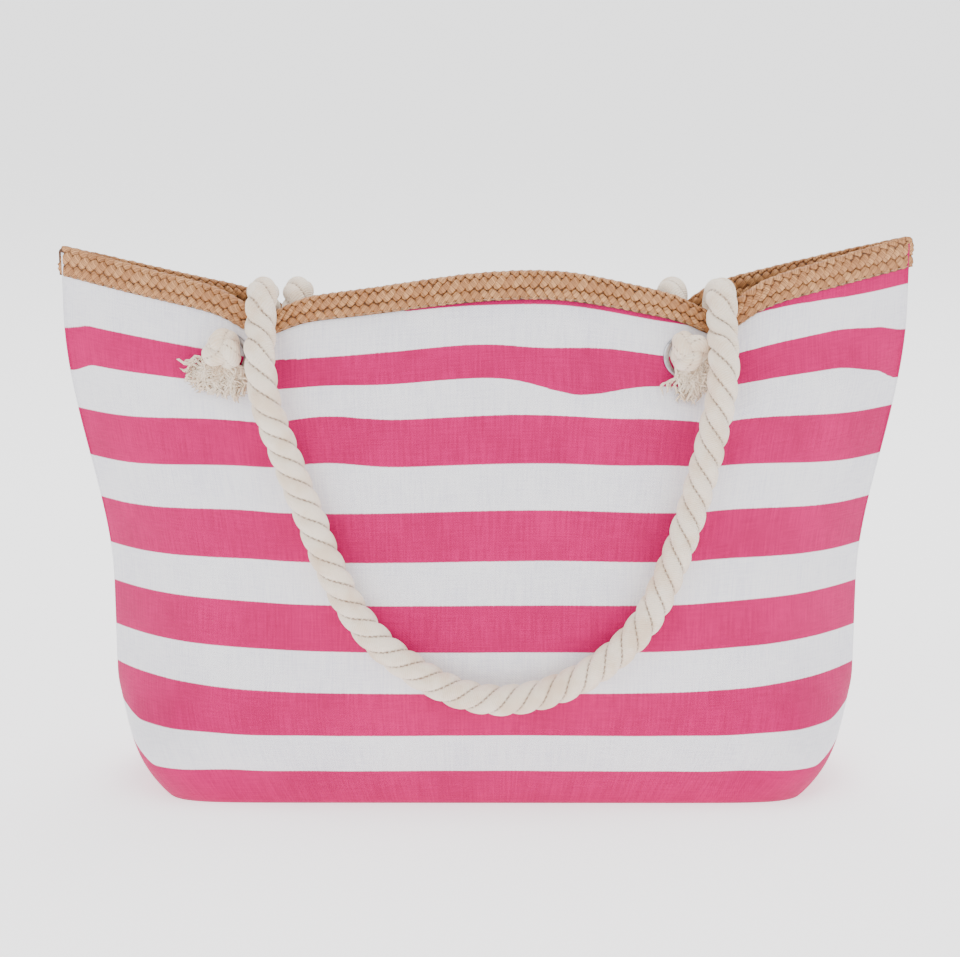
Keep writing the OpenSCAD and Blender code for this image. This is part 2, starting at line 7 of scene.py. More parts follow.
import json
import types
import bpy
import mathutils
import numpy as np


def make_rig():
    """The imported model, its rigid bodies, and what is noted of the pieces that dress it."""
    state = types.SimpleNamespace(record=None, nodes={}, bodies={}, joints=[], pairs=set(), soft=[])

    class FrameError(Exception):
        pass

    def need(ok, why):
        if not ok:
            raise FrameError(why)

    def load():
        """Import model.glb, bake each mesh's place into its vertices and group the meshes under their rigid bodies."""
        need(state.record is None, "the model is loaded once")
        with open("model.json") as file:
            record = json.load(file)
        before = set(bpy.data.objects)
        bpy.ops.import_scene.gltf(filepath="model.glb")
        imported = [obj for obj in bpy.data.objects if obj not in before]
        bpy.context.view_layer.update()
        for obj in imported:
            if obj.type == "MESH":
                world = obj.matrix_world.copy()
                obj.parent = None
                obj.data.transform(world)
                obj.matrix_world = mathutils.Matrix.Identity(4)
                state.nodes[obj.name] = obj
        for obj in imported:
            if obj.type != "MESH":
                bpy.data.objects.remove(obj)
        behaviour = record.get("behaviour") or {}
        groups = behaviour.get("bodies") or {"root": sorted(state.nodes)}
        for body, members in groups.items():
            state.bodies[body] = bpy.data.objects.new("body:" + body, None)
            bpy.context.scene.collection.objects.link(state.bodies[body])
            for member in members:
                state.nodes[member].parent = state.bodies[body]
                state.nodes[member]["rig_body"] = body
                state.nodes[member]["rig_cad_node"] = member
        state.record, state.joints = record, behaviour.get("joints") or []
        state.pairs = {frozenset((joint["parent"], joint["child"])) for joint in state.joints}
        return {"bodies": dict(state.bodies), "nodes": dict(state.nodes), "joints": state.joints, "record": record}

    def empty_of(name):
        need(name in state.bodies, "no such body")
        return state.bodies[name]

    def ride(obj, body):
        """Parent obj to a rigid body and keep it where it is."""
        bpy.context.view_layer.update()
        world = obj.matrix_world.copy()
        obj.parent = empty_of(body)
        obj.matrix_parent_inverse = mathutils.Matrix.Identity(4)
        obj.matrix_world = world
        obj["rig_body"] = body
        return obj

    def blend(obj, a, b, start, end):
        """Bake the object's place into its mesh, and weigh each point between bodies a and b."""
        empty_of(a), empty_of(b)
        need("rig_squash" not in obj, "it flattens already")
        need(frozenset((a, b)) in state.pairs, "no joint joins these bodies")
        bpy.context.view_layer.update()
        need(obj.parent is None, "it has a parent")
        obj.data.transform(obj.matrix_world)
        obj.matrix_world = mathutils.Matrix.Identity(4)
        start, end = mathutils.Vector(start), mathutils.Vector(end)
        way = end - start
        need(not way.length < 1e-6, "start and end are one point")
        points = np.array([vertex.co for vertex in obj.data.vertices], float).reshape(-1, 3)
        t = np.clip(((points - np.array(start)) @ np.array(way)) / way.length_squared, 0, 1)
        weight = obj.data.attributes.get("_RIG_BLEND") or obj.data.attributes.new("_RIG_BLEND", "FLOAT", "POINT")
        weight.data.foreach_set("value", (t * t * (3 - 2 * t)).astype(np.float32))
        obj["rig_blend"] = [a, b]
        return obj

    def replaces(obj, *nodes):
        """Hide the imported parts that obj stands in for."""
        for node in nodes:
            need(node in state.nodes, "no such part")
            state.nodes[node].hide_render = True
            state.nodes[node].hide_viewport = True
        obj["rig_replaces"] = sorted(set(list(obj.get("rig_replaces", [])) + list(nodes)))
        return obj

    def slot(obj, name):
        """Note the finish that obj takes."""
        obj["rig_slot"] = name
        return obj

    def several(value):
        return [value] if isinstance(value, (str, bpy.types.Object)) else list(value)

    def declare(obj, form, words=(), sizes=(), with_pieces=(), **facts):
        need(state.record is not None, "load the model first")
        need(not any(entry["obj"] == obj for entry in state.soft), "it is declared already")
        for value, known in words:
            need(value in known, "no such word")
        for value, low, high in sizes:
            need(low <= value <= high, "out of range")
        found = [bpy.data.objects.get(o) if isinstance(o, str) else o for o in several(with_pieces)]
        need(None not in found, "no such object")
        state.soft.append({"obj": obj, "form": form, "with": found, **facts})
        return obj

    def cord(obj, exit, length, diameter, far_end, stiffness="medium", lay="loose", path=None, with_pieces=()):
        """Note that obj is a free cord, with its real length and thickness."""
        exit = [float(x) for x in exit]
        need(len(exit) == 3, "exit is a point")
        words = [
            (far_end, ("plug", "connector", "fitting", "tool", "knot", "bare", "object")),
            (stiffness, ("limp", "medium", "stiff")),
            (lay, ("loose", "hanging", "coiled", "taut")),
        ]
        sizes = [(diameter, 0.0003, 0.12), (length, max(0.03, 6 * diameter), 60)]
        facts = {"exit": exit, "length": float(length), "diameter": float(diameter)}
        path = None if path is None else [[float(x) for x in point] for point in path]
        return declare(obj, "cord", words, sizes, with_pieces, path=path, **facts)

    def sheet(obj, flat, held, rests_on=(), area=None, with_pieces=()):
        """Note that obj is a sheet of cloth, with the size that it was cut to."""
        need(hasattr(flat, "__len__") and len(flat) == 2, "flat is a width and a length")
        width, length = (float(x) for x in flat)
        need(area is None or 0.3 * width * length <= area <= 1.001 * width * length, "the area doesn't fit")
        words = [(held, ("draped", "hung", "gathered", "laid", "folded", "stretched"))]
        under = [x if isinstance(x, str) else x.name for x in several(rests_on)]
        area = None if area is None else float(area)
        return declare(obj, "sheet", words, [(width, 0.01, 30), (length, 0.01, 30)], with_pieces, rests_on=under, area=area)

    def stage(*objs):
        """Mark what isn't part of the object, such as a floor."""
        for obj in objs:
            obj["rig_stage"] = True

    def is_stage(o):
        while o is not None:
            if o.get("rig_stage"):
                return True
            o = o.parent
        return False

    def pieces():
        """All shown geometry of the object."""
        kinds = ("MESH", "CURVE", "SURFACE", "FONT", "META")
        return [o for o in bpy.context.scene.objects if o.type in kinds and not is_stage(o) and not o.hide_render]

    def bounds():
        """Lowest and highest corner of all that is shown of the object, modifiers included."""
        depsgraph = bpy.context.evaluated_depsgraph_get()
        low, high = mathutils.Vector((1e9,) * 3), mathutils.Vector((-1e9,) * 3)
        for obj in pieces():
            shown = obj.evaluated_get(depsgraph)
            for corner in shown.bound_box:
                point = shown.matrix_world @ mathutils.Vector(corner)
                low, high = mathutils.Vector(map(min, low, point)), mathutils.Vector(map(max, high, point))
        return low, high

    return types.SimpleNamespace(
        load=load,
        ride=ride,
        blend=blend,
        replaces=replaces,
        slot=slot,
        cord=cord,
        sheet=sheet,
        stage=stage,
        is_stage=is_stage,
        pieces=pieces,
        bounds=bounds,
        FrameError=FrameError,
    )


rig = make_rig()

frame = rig.load()

import json
import logging
import math
import random
from dataclasses import dataclass, field
from enum import Enum
from typing import Callable, Optional, Sequence, Union

import bmesh
import bpy
from mathutils import Matrix, Vector, noise

log = logging.getLogger("beach_bag")
CAD_LOW, CAD_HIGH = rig.bounds()
MM = 0.001
ACROSS = Vector((1, 0, 0))
Place = Callable[[float, float], Vector]
Value = Union[float, Callable[[float, float], float]]
Colour = tuple[float, float, float, float]


class Side(Enum):
    """The two panels of the bag; the value is the sign of Y outside each."""

    FRONT = -1
    BACK = 1

    @property
    def word(self) -> str:
        """The side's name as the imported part's nodes have it."""
        return self.name.lower()


class Body(Enum):
    """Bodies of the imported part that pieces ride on."""

    BAG = "bag"
    FRONT_HANDLE = "front_handle"
    BACK_HANDLE = "back_handle"


def smooth(share: float) -> float:
    """Returns the soft step from 0 to 1 as share goes from 0 to 1."""
    c = max(0.0, min(1.0, share))
    return c * c * (3 - 2 * c)


def bell(a: float) -> float:
    """Returns a bell curve of height 1 at 0."""
    return math.exp(-a * a)


def bulge(share: float, power: float) -> float:
    """Returns the width of a rounded rod along its length: 1 in the middle and 0 at both ends."""
    return math.sqrt(max(0.0, 1 - abs(2 * share - 1) ** power))


def metres(points: Sequence[Sequence[float]]) -> list[tuple[float, ...]]:
    """Returns points that are given in millimetres."""
    return [tuple(value * MM for value in point) for point in points]


def srgb(red: int, green: int, blue: int) -> Colour:
    """Returns the linear colour of three screen values from 0 to 255."""
    channels = [value / 255 for value in (red, green, blue)]
    return tuple(c / 12.92 if c <= 0.04045 else ((c + 0.055) / 1.055) ** 2.4 for c in channels) + (1.0,)


# ---- The bag's curves ----


@dataclass(frozen=True)
class BagShape:
    """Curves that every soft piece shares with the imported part, in metres."""

    mouth_w: float = 0.550
    base_w: float = 0.426
    base_d: float = 0.124
    seam_h: float = 0.355
    right_rise: float = 0.006
    mouth_gap: float = 0.062
    belly: float = 0.011
    pinch: float = 0.009
    spread: float = 0.006
    press: float = 0.010
    canvas_t: float = 0.0016
    lining_t: float = 0.0008
    fit: float = 0.0003
    mid_h: float = 0.335
    corner_flare: float = 0.57
    left_climb: float = 1.1
    right_climb: float = 0.85
    crest_h: dict = field(default_factory=lambda: {Side.FRONT: 0.342, Side.BACK: 0.327})
    crest_x: dict = field(default_factory=lambda: {Side.FRONT: 0.035, Side.BACK: 0.0})
    dip_h: dict = field(default_factory=lambda: {Side.FRONT: 0.326, Side.BACK: 0.318})
    legs: dict = field(default_factory=lambda: {Side.FRONT: (-0.142, 0.150), Side.BACK: (-0.124, 0.124)})
    knots: dict = field(default_factory=lambda: {Side.FRONT: (-0.165, 0.128), Side.BACK: (-0.102, 0.147)})
    eyelet_drop: float = 0.033

    @property
    def stack(self) -> float:
        """Thickness of canvas and lining together."""
        return self.canvas_t + self.fit + self.lining_t

    def half_w(self, v: float, inset: float = 0.0) -> float:
        """Half width at share v of the height."""
        corner = 1 - max(0.0, 1 - v / 0.22) ** 2
        flare = self.corner_flare * corner + (1 - self.corner_flare) * smooth((v - 0.4) / 0.5)
        return self.base_w / 2 + (self.mouth_w - self.base_w) / 2 * flare - inset

    def half_d(self, v: float, inset: float = 0.0) -> float:
        """Half depth in the middle at share v of the height."""
        up = v**2.6
        swell = self.belly * math.sin(math.pi * v**0.75)
        return self.base_d / 2 * (1 - up) + self.mouth_gap / 2 * up + swell - inset

    def outline(self, t: float, v: float) -> float:
        """Share of the half depth at share t of the half width."""
        power = 2.5 + 2.5 * (1 - v) ** 1.5 + 8 * bell(v * self.mid_h / 0.045)
        root = 1 + 4 * bell(v * self.mid_h / 0.036)
        return max(0.0, 1 - min(1.0, abs(t)) ** power) ** (1 / root)

    def rim_h(self, side: Side, x: float) -> float:
        """Height of the rim at distance x from the centre line."""
        left, right = self.legs[side]
        top, dip, end = self.crest_x[side], self.dip_h[side], self.mouth_w / 2
        if x < left:
            rise = (self.seam_h - dip) * ((left - x) / (left + end)) ** self.left_climb
        elif x > right:
            rise = (self.seam_h + self.right_rise - dip) * ((x - right) / (end - right)) ** self.right_climb
        else:
            share = (top - x) / (top - left) if x < top else (x - top) / (right - top)
            rise = (self.crest_h[side] - dip) * (0.5 + 0.5 * math.cos(math.pi * share))
        return dip + rise - self.dent(side, x)

    def dent(self, side: Side, x: float) -> float:
        """How far the rope legs press the rim down at distance x."""
        return self.press * sum(bell((x - leg) / 0.020) for leg in self.legs[side])

    def wave(self, side: Side, x: float, v: float) -> float:
        """How far the mouth waves out at distance x."""
        out = self.spread * sum(bell((x - leg) / 0.035) for leg in self.legs[side])
        return (out - self.pinch * bell(x / 0.075)) * v**5

    def skin(self, side: Side, t: float, v: float, inset: float = 0.0) -> Vector:
        """Returns a point of the cloth.

        Args:
            side: The panel.
            t: Share of the half width, from -1 at the left seam to 1 at the right one.
            v: Share of the height, 0 at the floor and 1 at the rim.
            inset: How far inside the outer face the point lies.

        Returns:
            The point in the bag's frame.
        """
        v = max(0.0, v)
        x = self.half_w(v, inset) * t
        y = side.value * self.outline(t, v) * (self.half_d(v, inset) + self.wave(side, x, v))
        rim = self.rim_h(side, t * self.mouth_w / 2)
        return Vector((x, y, v * self.mid_h + (rim - self.mid_h) * v**3))

    def folds(self, side: Side, t: float, v: float) -> float:
        """Returns how far soft folds lift the cloth outwards, in metres."""
        x, h = self.half_w(v) * t, v * self.mid_h
        calm = smooth((1 - abs(t)) / 0.12) * smooth(v / 0.08) * smooth((0.955 - v) / 0.06)
        spot = Vector((x * 9 + side.value * 3, h * 12, side.value * 2.0))
        lift = 0.0016 * noise.noise(spot) + 0.0006 * noise.noise(spot * 3.1)
        if side is Side.FRONT:
            # A ridge right of the middle with a hollow above it, then a slanted ridge on the left.
            reach = smooth((x - 0.010) / 0.05) * (1 - 0.45 * smooth((x - 0.10) / 0.10))
            lift += reach * (0.0045 * bell((h - 0.266) / 0.013) - 0.0022 * bell((h - 0.296) / 0.012))
            lift += 0.0022 * bell((x + 0.090) / 0.05) * bell((h - 0.272 - 0.12 * (x + 0.09)) / 0.012)
        # Cloth gathers beside the rope's legs and lies flat round each eyelet.
        for leg, knot in zip(self.legs[side], self.knots[side]):
            lift += 0.0012 * bell((abs(x - leg) - 0.024) / 0.010) * smooth((h - 0.24) / 0.06)
            calm *= 1 - bell(math.hypot(x - knot, h - self.dip_h[side] + self.eyelet_drop) / 0.024)
        # Small slanted puckers over the boxed corners.
        for corner in (-1, 1):
            run = abs(x - corner * 0.205) + 0.55 * h
            lift += 0.0018 * math.sin(run * 95) * bell((x - corner * 0.185) / 0.05) * bell(h / 0.06)
        return lift * calm

    def skin_at(self, side: Side, x: float, z: float, inset: float = 0.0) -> Vector:
        """Returns the cloth's point at distance x and height z."""
        v = 0.8
        for _ in range(8):
            v += (z - self.skin(side, x / self.half_w(v), v).z) / self.mid_h
        return self.skin(side, x / self.half_w(v, inset), v, inset)

    def on_skin(self, side: Side, x: float, z: float) -> Matrix:
        """Returns the place on the cloth whose +Z points out of the bag and whose +X points down it."""
        across = self.skin_at(side, x + 0.004, z) - self.skin_at(side, x - 0.004, z)
        up = self.skin_at(side, x, z + 0.004) - self.skin_at(side, x, z - 0.004)
        n = (across.cross(up) * -side.value).normalized()
        turn = Matrix.Rotation(math.atan2(n.y, n.x), 4, "Z") @ Matrix.Rotation(math.acos(n.z), 4, "Y")
        return Matrix.Translation(self.skin_at(side, x, z)) @ turn

    def eyelet(self, side: Side, x: float) -> Matrix:
        """Returns the place of an eyelet at distance x."""
        return self.on_skin(side, x, self.dip_h[side] - self.eyelet_drop)


SHAPE = BagShape()


def column(u: float) -> float:
    """Returns the share of the half width for u from 0 to 1, with columns closer near the seams."""
    a = 2 * u - 1
    return 0.6 * math.sin(math.pi / 2 * a) + 0.4 * a


# ---- Finishes ----


class Wiring:
    """A material's node tree under construction."""

    def __init__(self, name: str) -> None:
        """Starts an empty tree in a new material called name."""
        self.material = bpy.data.materials.new(name)
        self.material.use_nodes = True
        self.tree = self.material.node_tree
        self.tree.nodes.clear()

    def add(self, kind: str, sockets: Optional[dict] = None, **settings: object) -> bpy.types.Node:
        """Adds one node.

        Args:
            kind: Blender's name of the node.
            sockets: Value or source socket for each input, by name or number.
            **settings: Properties of the node itself.

        Returns:
            The new node.
        """
        node = self.tree.nodes.new(kind)
        for key, value in settings.items():
            setattr(node, key, value)
        for key, value in (sockets or {}).items():
            if isinstance(value, bpy.types.NodeSocket):
                self.tree.links.new(value, node.inputs[key])
            else:
                node.inputs[key].default_value = value
        return node

    def math(self, operation: str, a: object, b: object = 0.0) -> bpy.types.NodeSocket:
        """Returns the result of a sum on two values."""
        return self.add("ShaderNodeMath", {0: a, 1: b}, operation=operation).outputs[0]

    def step(self, value: object, low: float, high: float) -> bpy.types.NodeSocket:
        """Returns a soft step from 0 at low to 1 at high."""
        sockets = {"Value": value, "From Min": low, "From Max": high}
        return self.add("ShaderNodeMapRange", sockets, interpolation_type="SMOOTHSTEP").outputs[0]

    def mix(self, factor: object, a: object, b: object, blend: str = "MIX") -> bpy.types.NodeSocket:
        """Returns colour a mixed with colour b by factor."""
        sockets = {0: factor, 6: a, 7: b}
        return self.add("ShaderNodeMix", sockets, data_type="RGBA", blend_type=blend).outputs[2]

    def cloth_map(self, across: float, along: float) -> bpy.types.NodeSocket:
        """Returns the piece's own map, stretched by two scales."""
        source = self.add("ShaderNodeUVMap", uv_map="UVMap").outputs[0]
        return self.add("ShaderNodeMapping", {"Vector": source, "Scale": (across, along, 1.0)}).outputs[0]

    def place_map(self, scale: float) -> bpy.types.NodeSocket:
        """Returns the place in the bag's frame, scaled."""
        source = self.add("ShaderNodeTexCoord").outputs["Object"]
        return self.add("ShaderNodeMapping", {"Vector": source, "Scale": (scale, scale, scale)}).outputs[0]

    def noise(self, vector: object, scale: float = 1.0, detail: float = 2.0) -> bpy.types.NodeSocket:
        """Returns a noise value round 0.5."""
        return self.add("ShaderNodeTexNoise", {"Vector": vector, "Scale": scale, "Detail": detail}).outputs[0]

    def attribute(self, name: str) -> bpy.types.NodeSocket:
        """Returns a value stored on the mesh."""
        return self.add("ShaderNodeAttribute", attribute_name=name).outputs["Fac"]

    def ridges(self, value: object, pitch: float) -> bpy.types.NodeSocket:
        """Returns a sine from -1 to 1 that repeats every pitch metres."""
        return self.math("SINE", self.math("MULTIPLY", value, 2 * math.pi / pitch))

    def plus(self, a: object, b: object, share: float) -> bpy.types.NodeSocket:
        """Returns a value with a share of another one added."""
        return self.math("ADD", a, self.math("MULTIPLY", b, share))

    def weave(self, thread: float) -> bpy.types.NodeSocket:
        """Returns the relief of a plain weave whose threads repeat every thread metres."""
        source = self.add("ShaderNodeSeparateXYZ", {0: self.cloth_map(1.0, 1.0)})
        across, along = (self.ridges(output, thread) for output in source.outputs[:2])
        return self.math("MULTIPLY", across, along)

    def bump(self, height: object, distance: float, strength: float = 1.0) -> bpy.types.NodeSocket:
        """Returns the normal of a relief that is distance metres deep."""
        sockets = {"Height": height, "Distance": distance, "Strength": strength}
        return self.add("ShaderNodeBump", sockets).outputs[0]

    def close(self, sockets: dict) -> bpy.types.Material:
        """Adds the shader and the output, and returns the material."""
        shader = self.add("ShaderNodeBsdfPrincipled", sockets)
        self.add("ShaderNodeOutputMaterial", {"Surface": shader.outputs[0]})
        return self.material


@dataclass(frozen=True)
class StripedCanvas:
    """Plain-weave cotton canvas in pink and white, from the stripe value stored on the cloth."""

    pink: Colour = srgb(206, 0, 104)
    deep_pink: Colour = srgb(178, 0, 84)
    white: Colour = srgb(247, 246, 250)
    shade: Colour = srgb(226, 224, 236)
    thread: float = 0.0016

    def material(self) -> bpy.types.Material:
        """Returns the finished material."""
        w = Wiring("striped_canvas")
        slubs = w.noise(w.cloth_map(900.0, 45.0), detail=3.0)
        picks = w.noise(w.cloth_map(60.0, 1100.0), detail=2.0)
        mottle = w.noise(w.place_map(26.0), detail=4.0)
        stripe = w.plus(w.attribute("stripe"), w.math("SUBTRACT", slubs, 0.5), 0.02)
        wave = w.math("PINGPONG", w.math("SUBTRACT", stripe, 0.5), 1.0)
        is_white = w.step(wave, 0.485, 0.515)
        threads = w.plus(w.math("MULTIPLY", slubs, 0.6), picks, 0.4)
        tone = w.plus(w.math("MULTIPLY", threads, 0.7), mottle, 0.3)
        pink = w.mix(w.step(tone, 0.35, 0.68), self.deep_pink, self.pink)
        white = w.mix(w.step(tone, 0.3, 0.6), self.shade, self.white)
        colour = w.mix(is_white, pink, white)
        relief = w.plus(threads, w.weave(self.thread), 0.35)
        return w.close({"Base Color": colour, "Roughness": 0.86, "Specular IOR Level": 0.25,
                        "Sheen Weight": 0.12, "Sheen Roughness": 0.5, "Normal": w.bump(relief, 0.0005, 0.55)})


@dataclass(frozen=True)
class LiningCloth:
    """Thin light lining with a fine weave."""

    name: str = "lining_cloth"
    light: Colour = srgb(244, 242, 240)
    dark: Colour = srgb(222, 220, 222)
    thread: float = 0.0011

    def material(self) -> bpy.types.Material:
        """Returns the finished material."""
        w = Wiring(self.name)
        slubs = w.noise(w.cloth_map(1200.0, 90.0), detail=3.0)
        tone = w.plus(slubs, w.weave(self.thread), 0.15)
        colour = w.mix(w.step(tone, 0.25, 0.75), self.dark, self.light)
        return w.close({"Base Color": colour, "Roughness": 0.8, "Sheen Weight": 0.1,
                        "Specular IOR Level": 0.3, "Normal": w.bump(tone, 0.0003, 0.5)})


@dataclass(frozen=True)
class StrawBraid:
    """Plaited paper straw: each strand has its own tint and fine lines along it, and painted shade at its rims and
    tucked ends.
    """

    name: str = "straw_braid"
    light: Colour = srgb(226, 168, 112)
    middle: Colour = srgb(196, 136, 84)
    dark: Colour = srgb(120, 72, 38)

    def material(self) -> bpy.types.Material:
        """Returns the finished material."""
        w = Wiring(self.name)
        lines = w.noise(w.cloth_map(160.0, 2200.0), detail=3.0)
        worn = w.noise(w.place_map(90.0), detail=3.0)
        body = w.mix(w.step(w.plus(w.attribute("tint"), worn, 0.5), 0.3, 1.1), self.middle, self.light)
        colour = w.mix(w.step(lines, 0.62, 0.4), body, self.dark)
        # Painted shade: each strand darkens towards its rims and tucked ends, where it passes under its neighbours.
        edge = w.step(w.attribute("edge"), 0.55, 1.0)
        colour = w.mix(w.math("MULTIPLY", edge, 0.75), colour, self.dark)
        return w.close({"Base Color": colour, "Roughness": 0.5, "Specular IOR Level": 0.45,
                        "Normal": w.bump(lines, 0.0004, 0.6)})


@dataclass(frozen=True)
class TwistedCotton:
    """Soft cotton rope: pale strands, painted shade in the grooves between them and fine yarns that cross each strand.
    """

    name: str = "cotton_rope"
    light: Colour = srgb(250, 234, 214)
    warm: Colour = srgb(236, 211, 184)
    groove: Colour = srgb(140, 104, 78)
    yarn_pitch: float = 0.0026
    yarn_slant: float = 1.7

    def material(self) -> bpy.types.Material:
        """Returns the finished material."""
        w = Wiring(self.name)
        parts = w.add("ShaderNodeSeparateXYZ", {0: w.cloth_map(1.0, 1.0)})
        slant = w.plus(parts.outputs[0], parts.outputs[1], -self.yarn_slant)
        yarns = w.ridges(slant, self.yarn_pitch)
        fibres = w.noise(w.place_map(1300.0), detail=3.0)
        cloud = w.noise(w.place_map(60.0), detail=3.0)
        relief = w.plus(fibres, yarns, 0.28)
        # The yarn ridges also tint the body a little, so the hollows between yarns are faintly painted darker.
        body = w.mix(w.step(w.plus(cloud, yarns, 0.06), 0.3, 0.62), self.warm, self.light)
        # Painted shade: the grooves between the strands are darkened towards the groove colour.
        colour = w.mix(w.step(w.attribute("groove"), 0.80, 1.0), body, self.groove)
        return w.close({"Base Color": colour, "Roughness": 0.92, "Specular IOR Level": 0.15,
                        "Sheen Weight": 0.35, "Sheen Roughness": 0.6, "Subsurface Weight": 0.08,
                        "Subsurface Radius": (0.004, 0.003, 0.002), "Subsurface Scale": 1.0,
                        "Normal": w.bump(relief, 0.0007, 0.7)})


@dataclass(frozen=True)
class PlatedMetal:
    """Nickel plate with fine brush lines and faint clouding."""

    name: str = "plated_metal"
    light: Colour = srgb(206, 206, 208)
    dark: Colour = srgb(150, 150, 154)
    roughness: float = 0.28

    def material(self) -> bpy.types.Material:
        """Returns the finished material."""
        w = Wiring(self.name)
        cloud = w.noise(w.place_map(240.0), detail=4.0)
        brush = w.noise(w.place_map(2600.0), detail=1.0)
        colour = w.mix(w.step(cloud, 0.3, 0.7), self.dark, self.light)
        rough = w.plus(self.roughness - 0.08, cloud, 0.2)
        return w.close({"Base Color": colour, "Metallic": 1.0, "Roughness": rough,
                        "Normal": w.bump(brush, 0.00005, 0.5)})


@dataclass(frozen=True)
class Moulded:
    """Matte nylon of the zip's coil."""

    name: str = "zip_coil"
    light: Colour = srgb(240, 236, 228)
    dark: Colour = srgb(205, 200, 192)

    def material(self) -> bpy.types.Material:
        """Returns the finished material."""
        w = Wiring(self.name)
        cloud = w.noise(w.place_map(900.0), detail=2.0)
        colour = w.mix(w.step(cloud, 0.3, 0.7), self.dark, self.light)
        return w.close({"Base Color": colour, "Roughness": 0.45, "Normal": w.bump(cloud, 0.0001, 0.4)})


@dataclass(frozen=True)
class StudioSurface:
    """Pale matte paper of the studio floor, with a glow that keeps it near white."""

    tone: Colour = (0.92, 0.92, 0.925, 1.0)

    def material(self) -> bpy.types.Material:
        """Returns the finished material."""
        w = Wiring("studio_paper")
        return w.close({"Base Color": self.tone, "Roughness": 0.9, "Specular IOR Level": 0.1,
                        "Emission Color": self.tone, "Emission Strength": 1.1})


def made(finish: object) -> bpy.types.Material:
    """Returns a field whose material is made from a finish when the set is."""
    return field(default_factory=finish.material)


@dataclass
class Finishes:
    """One material of each kind, made once."""

    canvas: bpy.types.Material = made(StripedCanvas())
    lining: bpy.types.Material = made(LiningCloth())
    tape: bpy.types.Material = made(
        LiningCloth("zip_cloth", srgb(240, 236, 228), srgb(206, 202, 196), 0.0009))
    straw: bpy.types.Material = made(StrawBraid())
    # A darker straw for the strip under the strands, painted shade in the gaps of the plait.
    ground: bpy.types.Material = made(
        StrawBraid("straw_ground", srgb(150, 100, 60), srgb(120, 76, 44), srgb(70, 42, 24)))
    rope: bpy.types.Material = made(TwistedCotton())
    fray: bpy.types.Material = made(
        TwistedCotton("frayed_cotton", srgb(248, 230, 208), srgb(226, 198, 168), srgb(150, 112, 84)))
    metal: bpy.types.Material = made(PlatedMetal())
    zip_metal: bpy.types.Material = made(
        PlatedMetal("zip_metal", srgb(212, 210, 206), srgb(160, 158, 154), 0.24))
    coil: bpy.types.Material = made(Moulded())
    thread: bpy.types.Material = made(
        TwistedCotton("sewing_thread", srgb(248, 244, 236), srgb(230, 222, 210), srgb(170, 160, 148)))
    tan_thread: bpy.types.Material = made(
        TwistedCotton("tan_thread", srgb(206, 158, 110), srgb(180, 130, 84), srgb(120, 80, 50)))


# ---- Making pieces ----


class Workpiece:
    """A mesh under construction: grids are laid, bent into place, joined and dressed."""

    def __init__(self, name: str, values: Sequence[str] = ()) -> None:
        """Starts an empty mesh called name that stores the named values on its points."""
        self.name = name
        self.bm = bmesh.new()
        self.map = self.bm.loops.layers.uv.new("UVMap")
        self.layers = {key: self.bm.verts.layers.float.new(key) for key in values}

    def patch(self, columns: int, rows: int, place: Place, size: tuple[float, float] = (1.0, 1.0),
              flip: bool = False, **values: Value) -> list[bmesh.types.BMVert]:
        """Lays one grid and bends it into place.

        Args:
            columns: Steps across.
            rows: Steps along.
            place: Gives a point for the two shares from 0 to 1.
            size: Width and length of the patch in metres, for its map.
            flip: Whether its faces are turned round.
            **values: What is stored on each point, as a number or a function of the two shares.

        Returns:
            The grid's points.
        """
        verts = bmesh.ops.create_grid(self.bm, x_segments=columns, y_segments=rows, size=1.0)["verts"]
        shares = {vert: ((vert.co.x + 1) / 2, (vert.co.y + 1) / 2) for vert in verts}
        faces = {face for vert in verts for face in vert.link_faces}
        for face in faces:
            face.smooth = True
            for loop in face.loops:
                u, v = shares[loop.vert]
                loop[self.map].uv = (u * size[0], v * size[1])
        for vert, (u, v) in shares.items():
            for key, value in values.items():
                vert[self.layers[key]] = value(u, v) if callable(value) else value
            vert.co = place(u, v)
        if flip:
            bmesh.ops.reverse_faces(self.bm, faces=list(faces))
        return verts

    def weld(self, verts: Sequence[bmesh.types.BMVert]) -> None:
        """Joins points that lie on each other."""
        bmesh.ops.remove_doubles(self.bm, verts=list(verts), dist=2e-6)

    def pod(self, around: int, along: int, place: Place, size: tuple[float, float] = (1.0, 1.0),
            **values: Value) -> None:
        """Lays a closed tube whose two ends come to a point."""
        self.weld(self.patch(around, along, place, size, **values))

    def face_out(self) -> None:
        """Turns every face outwards."""
        bmesh.ops.recalc_face_normals(self.bm, faces=self.bm.faces)

    def cap(self) -> None:
        """Closes open rings and turns every face outwards."""
        open_edges = [edge for edge in self.bm.edges if edge.is_boundary]
        bmesh.ops.holes_fill(self.bm, edges=open_edges, sides=200)
        self.face_out()

    def done(self, material: bpy.types.Material, slot: str, body: Optional[Body] = Body.BAG,
             replaces: Sequence[str] = ()) -> bpy.types.Object:
        """Turns the mesh into a dressed object.

        Args:
            material: Its finish.
            slot: The record's material slot.
            body: The body it rides on, or None if it bends between two.
            replaces: CAD nodes that it stands for.

        Returns:
            The object.
        """
        mesh = bpy.data.meshes.new(self.name)
        self.bm.to_mesh(mesh)
        self.bm.free()
        mesh.materials.append(material)
        obj = show(self.name, mesh)
        if body is not None:
            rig.ride(obj, body.value)
        if replaces:
            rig.replaces(obj, *replaces)
        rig.slot(obj, slot)
        log.info("%s: %d faces", self.name, len(mesh.polygons))
        return obj


def show(name: str, data: bpy.types.ID) -> bpy.types.Object:
    """Returns a new object in the scene that holds some data."""
    obj = bpy.data.objects.new(name, data)
    bpy.context.scene.collection.objects.link(obj)
    return obj


def thicken(obj: bpy.types.Object, thickness: float) -> None:
    """Gives a sheet its thickness, behind the faces it has."""
    modifier = obj.modifiers.new("thickness", "SOLIDIFY")
    modifier.thickness = thickness
    modifier.offset = -1.0


